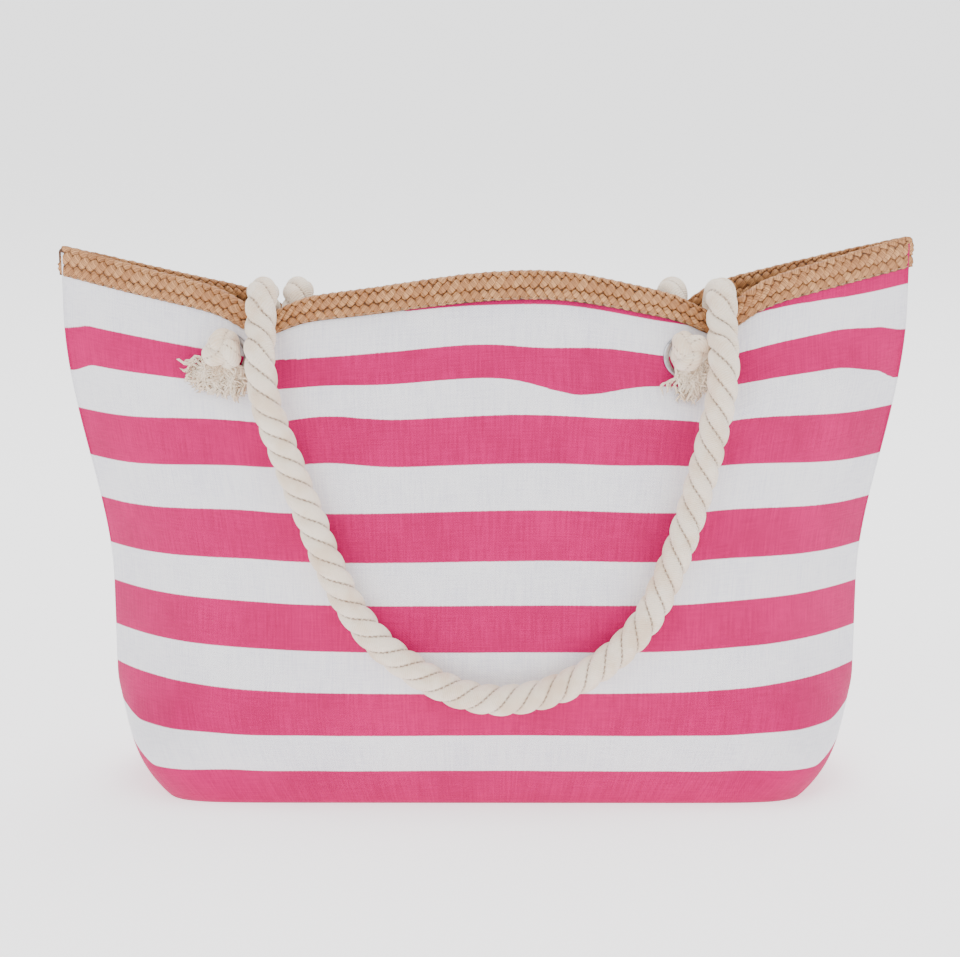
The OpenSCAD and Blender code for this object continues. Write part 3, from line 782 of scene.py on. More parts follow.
class Route:
    """A smooth line through given points, with a frame at every step."""

    SPLITS = 12

    def __init__(self, points: Sequence[Sequence[float]], step: float, reference: Vector) -> None:
        """Lays the line.

        Args:
            points: Points in metres.
            step: Distance between rings.
            reference: A direction that the line never follows.
        """
        knots = [Vector(point) for point in points]
        dense = [self.between(knots, i, k / self.SPLITS)
                 for i in range(len(knots) - 1) for k in range(self.SPLITS)] + [knots[-1]]
        lengths = [0.0]
        for a, b in zip(dense, dense[1:]):
            lengths.append(lengths[-1] + (b - a).length)
        self.length = lengths[-1]
        self.steps = max(2, round(self.length / step))
        self.points: list[Vector] = []
        at = 0
        for ring in range(self.steps + 1):
            want = self.length * ring / self.steps
            while at < len(dense) - 2 and lengths[at + 1] < want:
                at += 1
            share = (want - lengths[at]) / max(lengths[at + 1] - lengths[at], 1e-9)
            self.points.append(dense[at].lerp(dense[at + 1], share))
        self.sides: list[Vector] = []
        self.ups: list[Vector] = []
        side = reference
        for i in range(len(self.points)):
            along = (self.points[min(i + 1, self.steps)] - self.points[max(i - 1, 0)]).normalized()
            side = (side - along * side.dot(along)).normalized()
            self.sides.append(side)
            self.ups.append(along.cross(side))

    @staticmethod
    def between(knots: list[Vector], i: int, share: float) -> Vector:
        """Returns the point of the smooth curve between knots i and i + 1."""
        a, b = knots[max(i - 1, 0)], knots[i]
        c, d = knots[i + 1], knots[min(i + 2, len(knots) - 1)]
        s2, s3 = share * share, share**3
        bend, twist = 2 * a - 5 * b + 4 * c - d, 3 * b - a - 3 * c + d
        return 0.5 * (2 * b + (c - a) * share + bend * s2 + twist * s3)

    def ring(self, share: float, angle: float, radius: float) -> Vector:
        """Returns the point at a share of the length, an angle round the line and a radius."""
        i = min(self.steps, max(0, round(share * self.steps)))
        return self.points[i] + (self.sides[i] * math.cos(angle) + self.ups[i] * math.sin(angle)) * radius


@dataclass(frozen=True)
class Twist:
    """Section of a three-strand rope, and how it winds."""

    radius: float = 0.010
    lay: float = 0.042
    dip: float = 0.30
    flatness: float = 3.0
    around: int = 45

    def phase(self, angle: float, distance: float) -> float:
        """Returns where a point lies across its strand, from -1 in one groove to 1 in the next."""
        turn = (angle + 2 * math.pi * distance / self.lay) / (2 * math.pi / 3)
        return 2 * (turn - math.floor(turn)) - 1

    def reach(self, angle: float, distance: float) -> float:
        """Returns the rope's radius there."""
        return self.radius * (1 - self.dip * abs(self.phase(angle, distance)) ** self.flatness)

    def sweep(self, piece: Workpiece, route: Route) -> None:
        """Winds the rope along a route.

        Args:
            piece: The mesh that takes it; it stores how near a groove each point is, for the painted shade there.
            route: The centre line.
        """
        def place(u: float, v: float) -> Vector:
            """Returns a point of the rope's surface."""
            angle = 2 * math.pi * u
            return route.ring(v, angle, self.reach(angle, v * route.length))

        def groove(u: float, v: float) -> float:
            """Returns how near a groove the point is, which sets the painted shade there."""
            return abs(self.phase(2 * math.pi * u, v * route.length))

        size = (2 * math.pi * self.radius, route.length)
        piece.weld(piece.patch(self.around, route.steps, place, size, groove=groove))


# ---- Rope handles ----

KNOT_TWIST = Twist(radius=0.0062, lay=0.028, dip=0.16, around=30)


@dataclass
class RopeHandle:
    """One rope: knotted outside the cloth, through an eyelet, over the rim and down in a loop."""

    name: str
    side: Side
    body: Body
    turn_centre: tuple[float, float]
    loop: Sequence[Sequence[float]]
    anchors: dict
    knots: dict
    leans: dict
    turn_r: float = 0.015
    turn_rise: float = 0.004
    tuft_yarns: int = 300
    twist: Twist = field(default_factory=Twist)

    def over_rim(self, x: float) -> list[tuple[float, float, float]]:
        """Returns the turn's points at distance x, from inside the bag to where the loop starts."""
        y, z = self.turn_centre
        arc = [(x, y - self.side.value * self.turn_r * math.cos(a), z + self.turn_r * math.sin(a))
               for a in (math.radians(30 * k) for k in range(6))]
        return [(x, arc[0][1], z - self.turn_rise)] + arc

    def points(self) -> list[Sequence[float]]:
        """Returns the whole hanging route in metres."""
        loop = metres(self.loop)
        return self.over_rim(loop[0][0]) + loop + self.over_rim(loop[-1][0])[::-1]

    def tail(self, end: str, material: bpy.types.Material) -> bpy.types.Object:
        """Makes the rope from the knot through the eyelet up to the turn."""
        piece = Workpiece(f"{self.name}_{end}_tail", ["groove"])
        route = Route(metres(self.anchors[end]), 0.0016, ACROSS)
        self.twist.sweep(piece, route)
        piece.cap()
        return piece.done(material, "cotton_rope", replaces=[f"{self.side.word}_{end}_anchor"])

    def knot(self, end: str, material: bpy.types.Material) -> bpy.types.Object:
        """Makes the overhand knot that stops the rope outside its eyelet."""
        place = SHAPE.eyelet(self.side, self.knots[end] * MM)
        scale, rise = 0.0026, 0.0118
        steps = 36
        spots = [2 * math.pi * k / steps for k in range(steps)]
        turns = [Vector((math.sin(a) + 2 * math.sin(2 * a),
                         math.cos(a) - 2 * math.cos(2 * a),
                         -1.5 * math.sin(3 * a))) for a in spots + spots[:1]]
        spin = Matrix.Rotation(math.radians(20 if end == "left" else 65), 4, "Z")
        centres = [place @ (spin @ (turn * scale) + Vector((-0.003, 0, rise))) for turn in turns]
        route = Route(centres, 0.0012, place.to_3x3() @ Vector((0, 0, 1)))
        piece = Workpiece(f"{self.name}_{end}_knot", ["groove"])
        KNOT_TWIST.sweep(piece, route)
        piece.cap()
        return piece.done(material, "cotton_rope", replaces=[f"{self.side.word}_{end}_knot"])

    def tuft(self, end: str, material: bpy.types.Material) -> bpy.types.Object:
        """Makes the frayed end below the knot, a fan of short curled yarns."""
        draw = random.Random(f"{self.name}{end}")
        place = SHAPE.eyelet(self.side, self.knots[end] * MM)
        fan = place @ Matrix.Rotation(math.radians(self.leans[end]), 4, "Z")
        piece = Workpiece(f"{self.name}_{end}_tuft", ["groove"])
        for _ in range(self.tuft_yarns):
            self.yarn(piece, fan, draw)
        piece.face_out()
        return piece.done(material, "cotton_rope", replaces=[f"{self.side.word}_{end}_tuft"])

    def yarn(self, piece: Workpiece, fan: Matrix, draw: random.Random) -> None:
        """Adds one curled yarn to a tuft.

        Args:
            piece: The mesh that takes it.
            fan: Place of the tuft, +X down the cloth and +Z out of it.
            draw: Source of the variation.
        """
        heading = math.radians(draw.triangular(-80, 80, 0))
        out = Vector((math.cos(heading), math.sin(heading), 0))
        across = Vector((-out.y, out.x, 0))
        start = Vector((0.003, 0, draw.uniform(0.003, 0.010))) + across * draw.uniform(-0.006, 0.006)
        long = draw.uniform(0.55, 1.0) * (0.023 + 0.009 * abs(math.sin(heading)))
        amp, turns, phase = draw.uniform(0.0012, 0.0030), draw.uniform(1.2, 2.6), draw.uniform(0, 6.28)
        radius = draw.uniform(0.0008, 0.0013)
        settle = draw.uniform(0.0022, 0.0085)

        def centre(share: float) -> Vector:
            """Returns the yarn's centre line."""
            wind = 2 * math.pi * turns * share + phase
            curl = amp * smooth(share * 1.6)
            rise = start.z + (settle - start.z) * smooth(share) + abs(curl * math.cos(wind))
            ahead = out * long * share + across * curl * math.sin(wind)
            return Vector((start.x, start.y, 0)) + ahead + Vector((0, 0, rise))

        def place(u: float, v: float) -> Vector:
            """Returns a point of the yarn's surface."""
            angle = 2 * math.pi * u
            bend = across * math.cos(angle) + Vector((0, 0, 1)) * math.sin(angle)
            return fan @ (centre(v) + bend * radius * bulge(v, 6))

        # Painted shade: a random share of yarns is darkened, most towards the root where they bunch under the knot.
        shade = draw.uniform(0.55, 0.93)
        piece.pod(5, 12, place, (0.005, long), groove=lambda u, v: shade - 0.25 * v)

    def build(self, rope: bpy.types.Material, fray: bpy.types.Material) -> None:
        """Makes the whole handle.

        Args:
            rope: Finish of the twisted rope.
            fray: Finish of the frayed ends.
        """
        route = Route(self.points(), 0.0015, ACROSS)
        piece = Workpiece(f"{self.name}_rope", ["groove"])
        self.twist.sweep(piece, route)
        piece.cap()
        nodes = [f"{self.side.word}_{part}" for part in ("loop", "left_turn", "right_turn")]
        hanging = piece.done(rope, "cotton_rope", None, nodes)
        y, z = self.turn_centre
        reach = self.side.value * (self.turn_r + 0.005)
        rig.blend(hanging, Body.BAG.value, self.body.value, start=(0, y - reach, z), end=(0, y + reach, z))
        ends = [make(end, finish) for end in ("left", "right")
                for make, finish in ((self.tail, rope), (self.knot, rope), (self.tuft, fray))]
        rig.cord(hanging, exit=route.points[0], length=round(route.length, 3), diameter=2 * self.twist.radius,
                far_end="object", stiffness="medium", lay="hanging", path=route.points, with_pieces=ends)


FRONT_HANDLE = RopeHandle(
    name="front_handle", side=Side.FRONT, body=Body.FRONT_HANDLE, turn_centre=(-0.028, 0.318),
    loop=[
        (-142, -42.5, 321.9), (-142, -43.5, 318.2), (-142, -46, 312.5), (-142, -51, 305.5), (-142, -58, 298),
        (-141, -61, 290), (-140, -63, 280), (-138, -65, 269), (-134, -66, 256), (-127, -68, 238),
        (-119, -71, 217), (-110, -74, 195), (-100, -78, 169), (-87, -80, 142), (-76, -82, 126),
        (-63, -83, 112), (-49, -83, 101), (-34, -83, 91), (-14, -83, 82), (10, -83, 78),
        (36, -83, 82), (58, -83, 91), (75, -83, 102), (89, -82, 114), (100, -81, 127),
        (109, -79, 142), (121, -76, 171), (131, -71, 200), (139, -68, 229), (145, -67, 256),
        (148, -66, 270), (149, -65, 281), (150, -62, 291), (150, -58, 299), (150, -51, 305.5),
        (150, -46, 312.5), (150, -43.5, 318.2), (150, -42.5, 321.9),
    ],
    anchors={
        "left": [(-165, -33, 294), (-164, -28, 293), (-162, -23, 293), (-157, -17, 295),
                 (-151, -14, 299), (-146, -13, 304), (-143, -13, 309), (-142, -13, 314)],
        "right": [(128, -38, 294), (128, -32, 292), (130, -26, 292), (134, -19, 293),
                  (140, -15, 297), (146, -13, 302), (149, -13, 308), (150, -13, 314)],
    },
    knots={"left": -165, "right": 128}, leans={"left": -14, "right": 34},
)
BACK_HANDLE = RopeHandle(
    name="back_handle", side=Side.BACK, body=Body.BACK_HANDLE, turn_centre=(0.030, 0.310),
    loop=[
        (124, 44.5, 313.9), (124, 45.5, 310.2), (124, 48, 304.5), (124, 53, 297.5), (124, 59, 290),
        (123, 62, 282), (121, 64, 271), (118, 66, 259), (114, 68, 244), (108, 71, 224),
        (102, 74, 202), (96, 78, 176), (88, 81, 150), (81, 83, 126), (72, 83, 106),
        (61, 83, 89), (47, 83, 76), (30, 83, 66), (10, 83, 61), (-10, 83, 61),
        (-29, 83, 66), (-46, 83, 76), (-60, 83, 89), (-71, 83, 106), (-80, 83, 126),
        (-88, 81, 150), (-96, 78, 176), (-102, 74, 202), (-108, 71, 224), (-114, 68, 244),
        (-118, 66, 259), (-121, 64, 271), (-123, 62, 282), (-124, 59, 290), (-124, 53, 297.5),
        (-124, 48, 304.5), (-124, 45.5, 310.2), (-124, 44.5, 313.9),
    ],
    anchors={
        "left": [(147, 34, 285), (146, 29, 284), (144, 23, 284), (139, 18, 286),
                 (133, 16, 290), (128, 15, 295), (125, 15, 300), (124, 15, 306)],
        "right": [(-102, 38, 285), (-102, 33, 283), (-105, 27, 283), (-109, 20, 284),
                  (-115, 17, 288), (-121, 15, 293), (-123, 15, 299), (-124, 15, 306)],
    },
    knots={"left": 147, "right": -102}, leans={"left": -25, "right": -25},
)


# ---- Canvas ----


@dataclass
class CanvasBody:
    """The outer bag: two striped panels and the base they are sewn to."""

    columns: int = 230
    rows: int = 150
    base_band: float = 0.0295
    base_start: float = 0.004
    levels: tuple = (24, 49, 78.5, 106, 137, 165, 197, 225.5, 255, 277.5, 297.5, 319.5)

    def edges(self, side: Side, t: float, x: float) -> list[float]:
        """Returns the heights of the stripes' edges in metres of cloth, from the floor up.

        Args:
            side: The panel.
            t: Share of the half width.
            x: Distance from the centre line.

        Returns:
            One height for each edge; cloth below the first is pink.
        """
        # Near the seams the bands sag; each value belongs to the level in the same place.
        near, far = smooth((abs(t) - 0.55) / 0.4), smooth((abs(t) - 0.93) / 0.07)
        sags = [0.012 * far, 0.005 * far, 0.0, -0.002 * near, -0.003 * near, -0.006 * near, -0.008 * near,
                -0.010 * near, -0.010 * near, -0.004 * near - 0.006 * far, -0.001 * near - 0.004 * far, 0.0]
        heights = [level * MM + sag for level, sag in zip(self.levels, sags)]
        if side is Side.FRONT:
            # The bands lift beside the rope's legs and dip over the ridge right of the middle.
            for level, lift in ((7, 0.004), (8, 0.005), (9, 0.002)):
                heights[level] += lift * (bell((x + 0.102) / 0.03) + 0.5 * bell((x - 0.118) / 0.03))
            heights[9] -= 0.0095 * bell((x - 0.058) / 0.032)
            heights[10] -= 0.0035 * bell((x - 0.040) / 0.030)
            heights[11] += 0.002 * smooth((0.02 - x) / 0.08)
        # Both panels meet at the seams, so what happens near them is the same on each.
        heights[9] -= 0.007 * smooth((x - 0.225) / 0.04)
        heights[10] -= 0.004 * smooth((x - 0.225) / 0.04)
        heights[11] += 0.020 * smooth((-0.050 - x) / 0.02) - 0.006 * smooth((x - 0.17) / 0.09)
        dent = SHAPE.dent(side, t * SHAPE.mouth_w / 2)
        return [height + dent * (height / SHAPE.mid_h) ** 3 for height in heights]

    def stripe(self, side: Side, t: float, v: float) -> float:
        """Returns the stripe value: whole numbers are edges, and pink starts at each even one."""
        height = v * SHAPE.mid_h
        edges = [0.0] + self.edges(side, t, SHAPE.half_w(v) * t)
        for k, (low, high) in enumerate(zip(edges, edges[1:])):
            if height < high:
                return k + (height - low) / (high - low)
        return 12 + min(0.9, (height - edges[-1]) / 0.03)

    def panel(self, side: Side, material: bpy.types.Material) -> None:
        """Makes one striped panel."""
        name = f"{side.word}_canvas"
        piece = Workpiece(name, ["stripe"])

        def place(u: float, v: float) -> Vector:
            """Returns a point of the panel."""
            t = column(u)
            return SHAPE.skin(side, t, v, -SHAPE.folds(side, t, v))

        size = (SHAPE.mouth_w, SHAPE.mid_h)
        piece.patch(self.columns, self.rows, place, size, side is Side.BACK,
                    stripe=lambda u, v: self.stripe(side, column(u), v))
        obj = piece.done(material, "striped_canvas", replaces=[f"{side.word}_panel"])
        thicken(obj, SHAPE.canvas_t)
        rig.sheet(obj, flat=(0.530, 0.350), held="stretched", rests_on=["base_canvas"])

    def base(self, material: bpy.types.Material) -> None:
        """Makes the base, where the stripes run on underneath."""
        piece = Workpiece("base_canvas", ["stripe"])
        inset = SHAPE.canvas_t + 2 * SHAPE.fit

        def place(u: float, v: float) -> Vector:
            """Returns a point of the base."""
            t = column(u)
            edge = SHAPE.skin(Side.BACK, t, 0.0, inset)
            return Vector((edge.x, edge.y * (2 * v - 1), 0.0))

        def stripe(u: float, v: float) -> float:
            """Returns the stripe value, which falls from the edges to the middle."""
            return -max(0.0, (0.5 - abs(v - 0.5)) * SHAPE.base_d - self.base_start) / self.base_band

        piece.patch(110, 40, place, (SHAPE.base_w, SHAPE.base_d), True, stripe=stripe)
        obj = piece.done(material, "striped_canvas", replaces=["base_panel"])
        thicken(obj, SHAPE.canvas_t)
        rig.sheet(obj, flat=(0.430, 0.124), held="laid")

    def build(self, material: bpy.types.Material) -> None:
        """Makes the base and both panels."""
        self.base(material)
        for side in Side:
            self.panel(side, material)


# ---- Lining and pocket ----


@dataclass
class Lining:
    """Light lining inside the canvas, with a zipped pocket on the back."""

    gap: float = 0.0030
    pocket_w: float = 0.200
    pocket_l: float = 0.120
    zip_z: float = 0.252

    def half(self, side: Side, material: bpy.types.Material) -> None:
        """Makes the lining of one panel."""
        piece = Workpiece(f"{side.word}_lining_cloth")
        inset = SHAPE.canvas_t + SHAPE.fit
        low = self.gap / SHAPE.mid_h

        def place(u: float, v: float) -> Vector:
            """Returns a point of the lining."""
            t, share = column(u), low + (1 - low) * v
            x, h = SHAPE.half_w(share) * t, share * SHAPE.mid_h
            slack = abs(noise.noise(Vector((x * 14, h * 10, 5.0 * side.value)))) * 0.0035
            slack *= smooth((1 - abs(t)) / 0.15) * smooth(v / 0.1) * smooth((0.9 - v) / 0.1)
            return SHAPE.skin(side, t, share, inset + slack - min(0.0, SHAPE.folds(side, t, share)))

        piece.patch(120, 80, place, (SHAPE.mouth_w, SHAPE.mid_h), side is Side.BACK)
        obj = piece.done(material, "lining_cloth", replaces=[f"{side.word}_lining"])
        thicken(obj, SHAPE.lining_t)
        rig.sheet(obj, flat=(0.525, 0.345), held="hung", rests_on=[f"{side.word}_canvas"])

    def base(self, material: bpy.types.Material) -> None:
        """Makes the lining of the base."""
        piece = Workpiece("base_lining_cloth")
        inset = SHAPE.stack + 2 * SHAPE.fit

        def place(u: float, v: float) -> Vector:
            """Returns a point of the base lining."""
            edge = SHAPE.skin(Side.BACK, column(u), 0.0, inset)
            ripple = 0.0006 * noise.noise(Vector((edge.x * 20, v * 3, 1.0)))
            return Vector((edge.x, edge.y * (2 * v - 1), SHAPE.canvas_t + SHAPE.fit + 0.0012 + ripple))

        piece.patch(70, 24, place, (SHAPE.base_w, SHAPE.base_d))
        obj = piece.done(material, "lining_cloth", replaces=["base_lining"])
        thicken(obj, SHAPE.lining_t)
        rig.sheet(obj, flat=(0.428, 0.122), held="laid", rests_on=["base_canvas"])

    def pocket(self, material: bpy.types.Material) -> None:
        """Makes the pocket's bag below the zip."""
        piece = Workpiece("pocket_cloth")
        low = (self.zip_z - self.pocket_l) / SHAPE.mid_h
        high = (self.zip_z - 0.0045) / SHAPE.mid_h

        def place(u: float, v: float) -> Vector:
            """Returns a point of the pocket."""
            share = low + (high - low) * v
            sag = 0.003 * math.sin(math.pi * u) * math.sin(math.pi * min(1.0, v * 1.15))
            depth = SHAPE.stack + 0.0038 + sag
            half = SHAPE.half_w(share, depth)
            return SHAPE.skin(Side.BACK, self.pocket_w * (u - 0.5) / half, share, depth)

        piece.patch(50, 34, place, (self.pocket_w, self.pocket_l), True)
        obj = piece.done(material, "lining_cloth", replaces=["pocket_panel"])
        thicken(obj, 0.0007)
        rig.sheet(obj, flat=(self.pocket_w, 0.118), held="hung", rests_on=["zip_tapes"])

    def build(self, material: bpy.types.Material) -> None:
        """Makes every piece of the lining."""
        for side in Side:
            self.half(side, material)
        self.base(material)
        self.pocket(material)


# ---- Braid ----


@dataclass
class BraidTrim:
    """Plaited straw folded over the rim: a dark strip under rows of slanted strands, painted shade for the gaps
    between them.
    """

    leg: float = 0.0125
    roll_r: float = 0.0030
    pitch: float = 0.0058
    strand_l: float = 0.0108
    strand_w: float = 0.0050
    strand_t: float = 0.0022
    slant: float = 42.0
    rows: int = 5

    @property
    def wrap(self) -> float:
        """Width of the flat braid, from the outer edge over the rim to the inner edge."""
        return 2 * self.leg + math.pi * self.roll_r

    def fold(self, side: Side, t: float, w: float, proud: float = 0.0) -> Vector:
        """Returns a point of the folded braid.

        Args:
            side: The panel.
            t: Share of the half width.
            w: Distance across the flat braid from its outer edge.
            proud: Distance outside the strip's own face.

        Returns:
            The point in the bag's frame.
        """
        if abs(t) > 1:
            over = self.fold(side, math.copysign(2 - abs(t), t), w, proud)
            return Vector((over.x, -over.y, over.z))
        w = max(0.0, min(self.wrap, w))
        middle = SHAPE.stack / 2
        r = self.roll_r + proud
        drop = self.leg / SHAPE.mid_h
        if w < self.leg:
            return SHAPE.skin(side, t, 1 - drop * (1 - w / self.leg), middle - r)
        if w > self.wrap - self.leg:
            return SHAPE.skin(side, t, 1 - drop * (1 - (self.wrap - w) / self.leg), middle + r)
        a = (w - self.leg) / self.roll_r
        return SHAPE.skin(side, t, 1.0, middle - r * math.cos(a)) + Vector((0, 0, r * math.sin(a)))

    def ground(self, side: Side, material: bpy.types.Material) -> None:
        """Makes the dark strip that shows between the strands, painted shade for the gaps of the plait."""
        piece = Workpiece(f"{side.word}_braid_ground", ["tint", "edge"])
        piece.patch(230, 24, lambda u, v: self.fold(side, 1.008 * column(u), self.wrap * v),
                    (SHAPE.mouth_w, self.wrap), side is Side.BACK, tint=0.3, edge=0.4)
        obj = piece.done(material, "straw_braid")
        thicken(obj, 0.0006)

    def strand(self, piece: Workpiece, side: Side, x: float, w: float, slant: float,
               draw: random.Random) -> None:
        """Adds one visible strand of the plait.

        Args:
            piece: The mesh that takes it.
            side: The panel.
            x: Distance of its middle from the centre line.
            w: Distance of its middle across the flat braid.
            slant: Its angle to the rim, in radians.
            draw: Source of the variation.
        """
        half_w = SHAPE.mouth_w / 2
        slant += draw.uniform(-0.10, 0.10)
        long, wide = self.strand_l * draw.uniform(0.94, 1.06), self.strand_w * draw.uniform(0.9, 1.06)
        lift = draw.uniform(0.0, 0.0003)
        cos, sin = math.cos(slant), math.sin(slant)

        def place(u: float, v: float) -> Vector:
            """Returns a point of the strand."""
            a, angle = 2 * v - 1, 2 * math.pi * u
            body = bulge(v, 5)
            b = math.cos(angle) * wide / 2 * body
            along = a * long / 2
            arch = 0.0007 * math.cos(math.pi * a / 2) - 0.0002
            proud = arch + lift + math.sin(angle) * self.strand_t / 2 * body
            return self.fold(side, (x + along * cos - b * sin) / half_w, w + along * sin + b * cos, proud)

        def edge(u: float, v: float) -> float:
            """Returns how near the strand's rim or tucked end the point is, which sets the painted shade there."""
            return max(abs(math.cos(2 * math.pi * u)) * 0.8, abs(2 * v - 1) ** 1.5)

        piece.pod(8, 6, place, (wide, long), tint=draw.uniform(0.0, 0.8), edge=edge)

    def plait(self, side: Side, material: bpy.types.Material) -> None:
        """Makes the rows of slanted strands."""
        draw = random.Random(side.value)
        piece = Workpiece(f"{side.word}_braid_plait", ["tint", "edge"])
        count = round(SHAPE.mouth_w / self.pitch)
        for row in range(self.rows):
            w = self.wrap * (row + 0.5) / self.rows
            slant = math.radians(self.slant if row % 2 else -self.slant)
            for k in range(count):
                x = (k + 0.5 + 0.5 * (row % 2)) * self.pitch - SHAPE.mouth_w / 2
                if abs(x) < SHAPE.mouth_w / 2 + 0.001:
                    self.strand(piece, side, x, w, slant, draw)
        piece.face_out()
        piece.done(material, "straw_braid", replaces=[f"{side.word}_braid"])

    def build(self, straw: bpy.types.Material, ground: bpy.types.Material) -> None:
        """Makes the trim of both rims."""
        for side in Side:
            self.ground(side, ground)
            self.plait(side, straw)


# ---- Metal ----


@dataclass
class Eyelets:
    """Rolled metal eyelets that line the rope's holes."""

    hole_r: float = 0.011
    flange: float = 0.0036
    roll: float = 0.0011

    def ring(self, side: Side, end: str, x: float, material: bpy.types.Material) -> None:
        """Spins one eyelet: a rounded flange outside and a barrel through the cloth."""
        piece = Workpiece(f"{side.word}_{end}_eyelet_ring")
        place = SHAPE.eyelet(side, x)
        depth = SHAPE.stack + 0.0012
        inner, outer = self.hole_r, self.hole_r + self.flange
        arc = [(outer - self.roll + self.roll * math.cos(a), self.roll * math.sin(a) + 0.0002)
               for a in (math.pi * k / 6 for k in range(4))]
        crown = [(inner + 0.0009 * (1 - math.sin(a)), 0.0012 - 0.0009 * (1 - math.cos(a)) + 0.0001)
                 for a in (math.pi * k / 6 for k in range(4))]
        profile = arc + crown + [(inner, -depth), (inner + 0.0008, -depth), (inner + 0.0008, 0.0)]
        bm = piece.bm
        verts = [bm.verts.new((r, 0, z)) for r, z in profile]
        edges = [bm.edges.new(pair) for pair in zip(verts, verts[1:] + verts[:1])]
        bmesh.ops.spin(bm, geom=verts + edges, cent=(0, 0, 0), axis=(0, 0, 1), angle=2 * math.pi,
                       steps=64, use_merge=True)
        bmesh.ops.remove_doubles(bm, verts=bm.verts, dist=1e-6)
        piece.face_out()
        bmesh.ops.transform(bm, matrix=place, verts=bm.verts)
        for face in bm.faces:
            face.smooth = True
        piece.done(material, "eyelet_metal", replaces=[f"{side.word}_{end}_eyelet"])

    def build(self, handles: Sequence[RopeHandle], material: bpy.types.Material) -> None:
        """Makes an eyelet for every knot."""
        for handle in handles:
            for end, x in handle.knots.items():
                self.ring(handle.side, end, x * MM, material)


@dataclass
class ZipCoil:
    """Two rows of small nylon loops that mesh along the zip."""

    length: float = 0.170
    pitch: float = 0.0016
    depth: float = 0.0060
    loop_l: float = 0.0021
    loop_w: float = 0.00042
    loop_h: float = 0.00065

    def build(self, material: bpy.types.Material) -> None:
        """Makes every loop in place of the plain teeth."""
        flip = Matrix.Diagonal((1, 1, -1, 1))
        place = SHAPE.on_skin(Side.BACK, 0.0, Lining.zip_z) @ Matrix.Translation((0, 0, -self.depth)) @ flip
        piece = Workpiece("zip_coil_loops")
        for k in range(round(2 * self.length / self.pitch)):
            y = (k + 0.5) * self.pitch / 2 - self.length / 2
            reach = 1 if k % 2 else -1

            def loop(u: float, v: float, y: float = y, reach: float = reach) -> Vector:
                """Returns a point of one loop."""
                body, angle = bulge(v, 4), 2 * math.pi * u
                x = self.loop_l * (v - 0.08) * reach
                high = 0.0008 + self.loop_h * body * math.sin(angle)
                return place @ Vector((x, y + self.loop_w * body * math.cos(angle), high))

            piece.pod(6, 4, loop)
        piece.face_out()
        piece.done(material, "zip_coil", replaces=["zip_teeth"])


# ---- Stitching ----


@dataclass
class Stitching:
    """Lock stitches that hold the braid and the pocket."""

    pitch: float = 0.0048
    length: float = 0.0034
    radius: float = 0.00038
    edge: float = 0.0012
    proud: float = 0.0016

    def run(self, piece: Workpiece, line: Callable[[float], Vector], reach: float) -> None:
        """Sews one line of stitches.

        Args:
            piece: The mesh that takes them.
            line: Gives a point of the seam for a share from 0 to 1.
            reach: The seam's length in metres.
        """
        count = max(2, round(reach / self.pitch))
        for k in range(count):
            start = line((k + 0.15) / count)
            end = line((k + 0.15 + self.length / self.pitch) / count)
            along = (end - start).normalized()
            side = along.orthogonal().normalized()
            up = along.cross(side)

            def stitch(u: float, v: float, start: Vector = start, end: Vector = end,
                       side: Vector = side, up: Vector = up) -> Vector:
                """Returns a point of one stitch."""
                body = self.radius * bulge(v, 4)
                angle = 2 * math.pi * u
                return start.lerp(end, v) + (side * math.cos(angle) + up * math.sin(angle)) * body

            piece.pod(5, 4, stitch, groove=0.3)

    def build(self, tan: bpy.types.Material, white: bpy.types.Material) -> None:
        """Sews the braid and the pocket."""
        trim = BraidTrim()
        braid, pocket = (Workpiece(name, ["groove"]) for name in ("braid_stitches", "pocket_stitches"))
        for side in Side:
            for w in (self.edge, trim.wrap - self.edge):
                self.run(braid, lambda s, side=side, w=w: trim.fold(side, 1.98 * s - 0.99, w, self.proud),
                         SHAPE.mouth_w)
        bag = Lining()
        low, high = (bag.zip_z - bag.pocket_l + 0.003) / SHAPE.mid_h, (bag.zip_z - 0.008) / SHAPE.mid_h
        depth = SHAPE.stack + 0.0040
        edge = bag.pocket_w / 2 - 0.003
        for end in (-1, 1):
            self.run(pocket, lambda s, end=end: SHAPE.skin(
                Side.BACK, end * edge / SHAPE.half_w(low + (high - low) * s, depth),
                low + (high - low) * s, depth), bag.pocket_l)
        self.run(pocket, lambda s: SHAPE.skin(
            Side.BACK, edge * (2 * s - 1) / SHAPE.half_w(low, depth), low, depth), bag.pocket_w)
        for piece, thread in ((braid, tan), (pocket, white)):
            piece.face_out()
            piece.done(thread, "stitching")


# ---- Studio ----


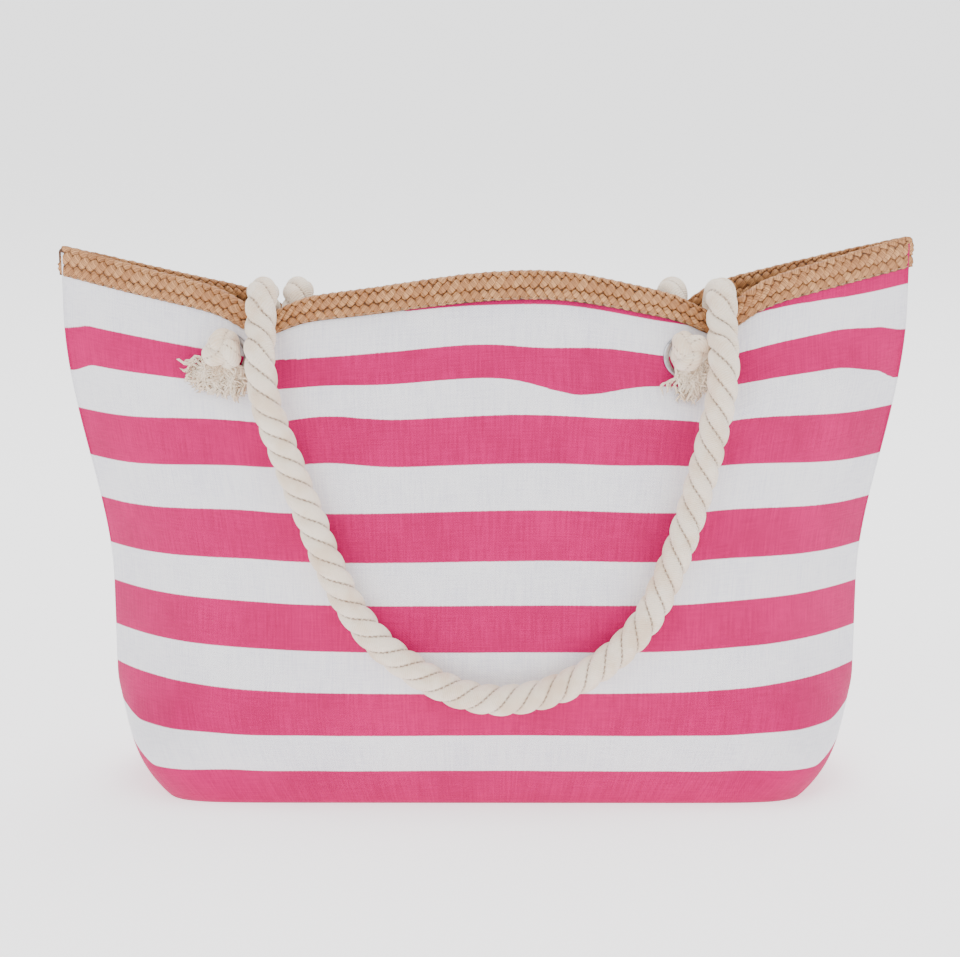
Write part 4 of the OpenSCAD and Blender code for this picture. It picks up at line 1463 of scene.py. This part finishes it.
@dataclass
class Studio:
    """Camera, wide pale floor and soft lights."""

    aim: Vector = field(default_factory=lambda: Vector((-0.0033, 0.0, 0.2045)))
    stand: Vector = field(default_factory=lambda: Vector((0.0, 0.0, 0.180)))
    lit: Vector = field(default_factory=lambda: Vector((0.0, 0.0, 0.170)))
    distance: float = 1.5
    elevation: float = 14.0
    lens: float = 84.5
    floor_r: float = 40.0
    room_light: float = 1.3
    lights: tuple = (("key_softbox", (-1.3, -2.0, 1.9), 1.6, 21.0),
                     ("fill_softbox", (1.8, -1.6, 1.2), 1.8, 8.0),
                     ("top_softbox", (0.3, 0.7, 2.4), 2.0, 48.0))

    @staticmethod
    def point(obj: bpy.types.Object, place: Vector, target: Vector) -> None:
        """Puts a camera or light in its place and points it at a target."""
        obj.location = place
        obj.rotation_mode = "QUATERNION"
        obj.rotation_quaternion = (target - place).to_track_quat("-Z", "Y")

    def camera(self) -> None:
        """Places the camera in front of the bag, a little above it."""
        data = bpy.data.cameras.new("camera")
        data.lens = self.lens
        data.sensor_width = 36.0
        data.clip_start = 0.05
        obj = show("camera", data)
        tilt = math.radians(self.elevation)
        place = self.stand + Vector((0, -math.cos(tilt), math.sin(tilt))) * self.distance
        self.point(obj, place, self.aim)
        bpy.context.scene.camera = obj

    def floor(self) -> None:
        """Makes the flat floor, wide enough to reach the horizon."""
        bm = bmesh.new()
        bmesh.ops.create_circle(bm, cap_ends=True, segments=128, radius=self.floor_r)
        mesh = bpy.data.meshes.new("studio_floor")
        bm.to_mesh(mesh)
        bm.free()
        mesh.materials.append(StudioSurface().material())
        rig.stage(show("studio_floor", mesh))

    def softbox(self, name: str, place: Sequence[float], size: float, power: float) -> None:
        """Hangs one square light that faces the bag."""
        data = bpy.data.lights.new(name, "AREA")
        data.shape = "SQUARE"
        data.size = size
        data.energy = power
        self.point(show(name, data), Vector(place), self.lit)

    def build(self) -> None:
        """Makes the floor, the room light and the softboxes."""
        self.floor()
        world = bpy.data.worlds.new("room")
        world.use_nodes = True
        world.node_tree.nodes["Background"].inputs[0].default_value = (1.0, 1.0, 1.0, 1.0)
        world.node_tree.nodes["Background"].inputs[1].default_value = self.room_light
        bpy.context.scene.world = world
        for name, place, size, power in self.lights:
            self.softbox(name, place, size, power)


def dress_fittings(finishes: Finishes) -> None:
    """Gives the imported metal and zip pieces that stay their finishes."""
    finish_of = {"eyelet_metal": finishes.metal, "zip_metal": finishes.zip_metal,
                 "zip_cloth": finishes.tape, "zip_coil": finishes.coil}
    for part in frame["record"]["subparts"]:
        obj = frame["nodes"][part["node"]]
        if not obj.hide_render and part["material_slot"] in finish_of:
            obj.data.materials.clear()
            obj.data.materials.append(finish_of[part["material_slot"]])
            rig.slot(obj, part["material_slot"])


def main() -> None:
    """Builds the studio and every sub-assembly, and notes the model's size."""
    logging.basicConfig(level=logging.INFO, format="%(name)s: %(message)s")
    studio = Studio()
    studio.camera()
    finishes = Finishes()
    for handle in (FRONT_HANDLE, BACK_HANDLE):
        handle.build(finishes.rope, finishes.fray)
    CanvasBody().build(finishes.canvas)
    Lining().build(finishes.lining)
    BraidTrim().build(finishes.straw, finishes.ground)
    Eyelets().build((FRONT_HANDLE, BACK_HANDLE), finishes.metal)
    ZipCoil().build(finishes.coil)
    Stitching().build(finishes.tan_thread, finishes.thread)
    dress_fittings(finishes)
    studio.build()
    low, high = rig.bounds()
    sizes = {"cad": [list(CAD_LOW), list(CAD_HIGH)], "visual": [list(low), list(high)]}
    with open("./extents.json", "w") as file:
        json.dump(sizes, file)
    log.info("size %s", sizes)


if __name__ == "__main__":
    main()
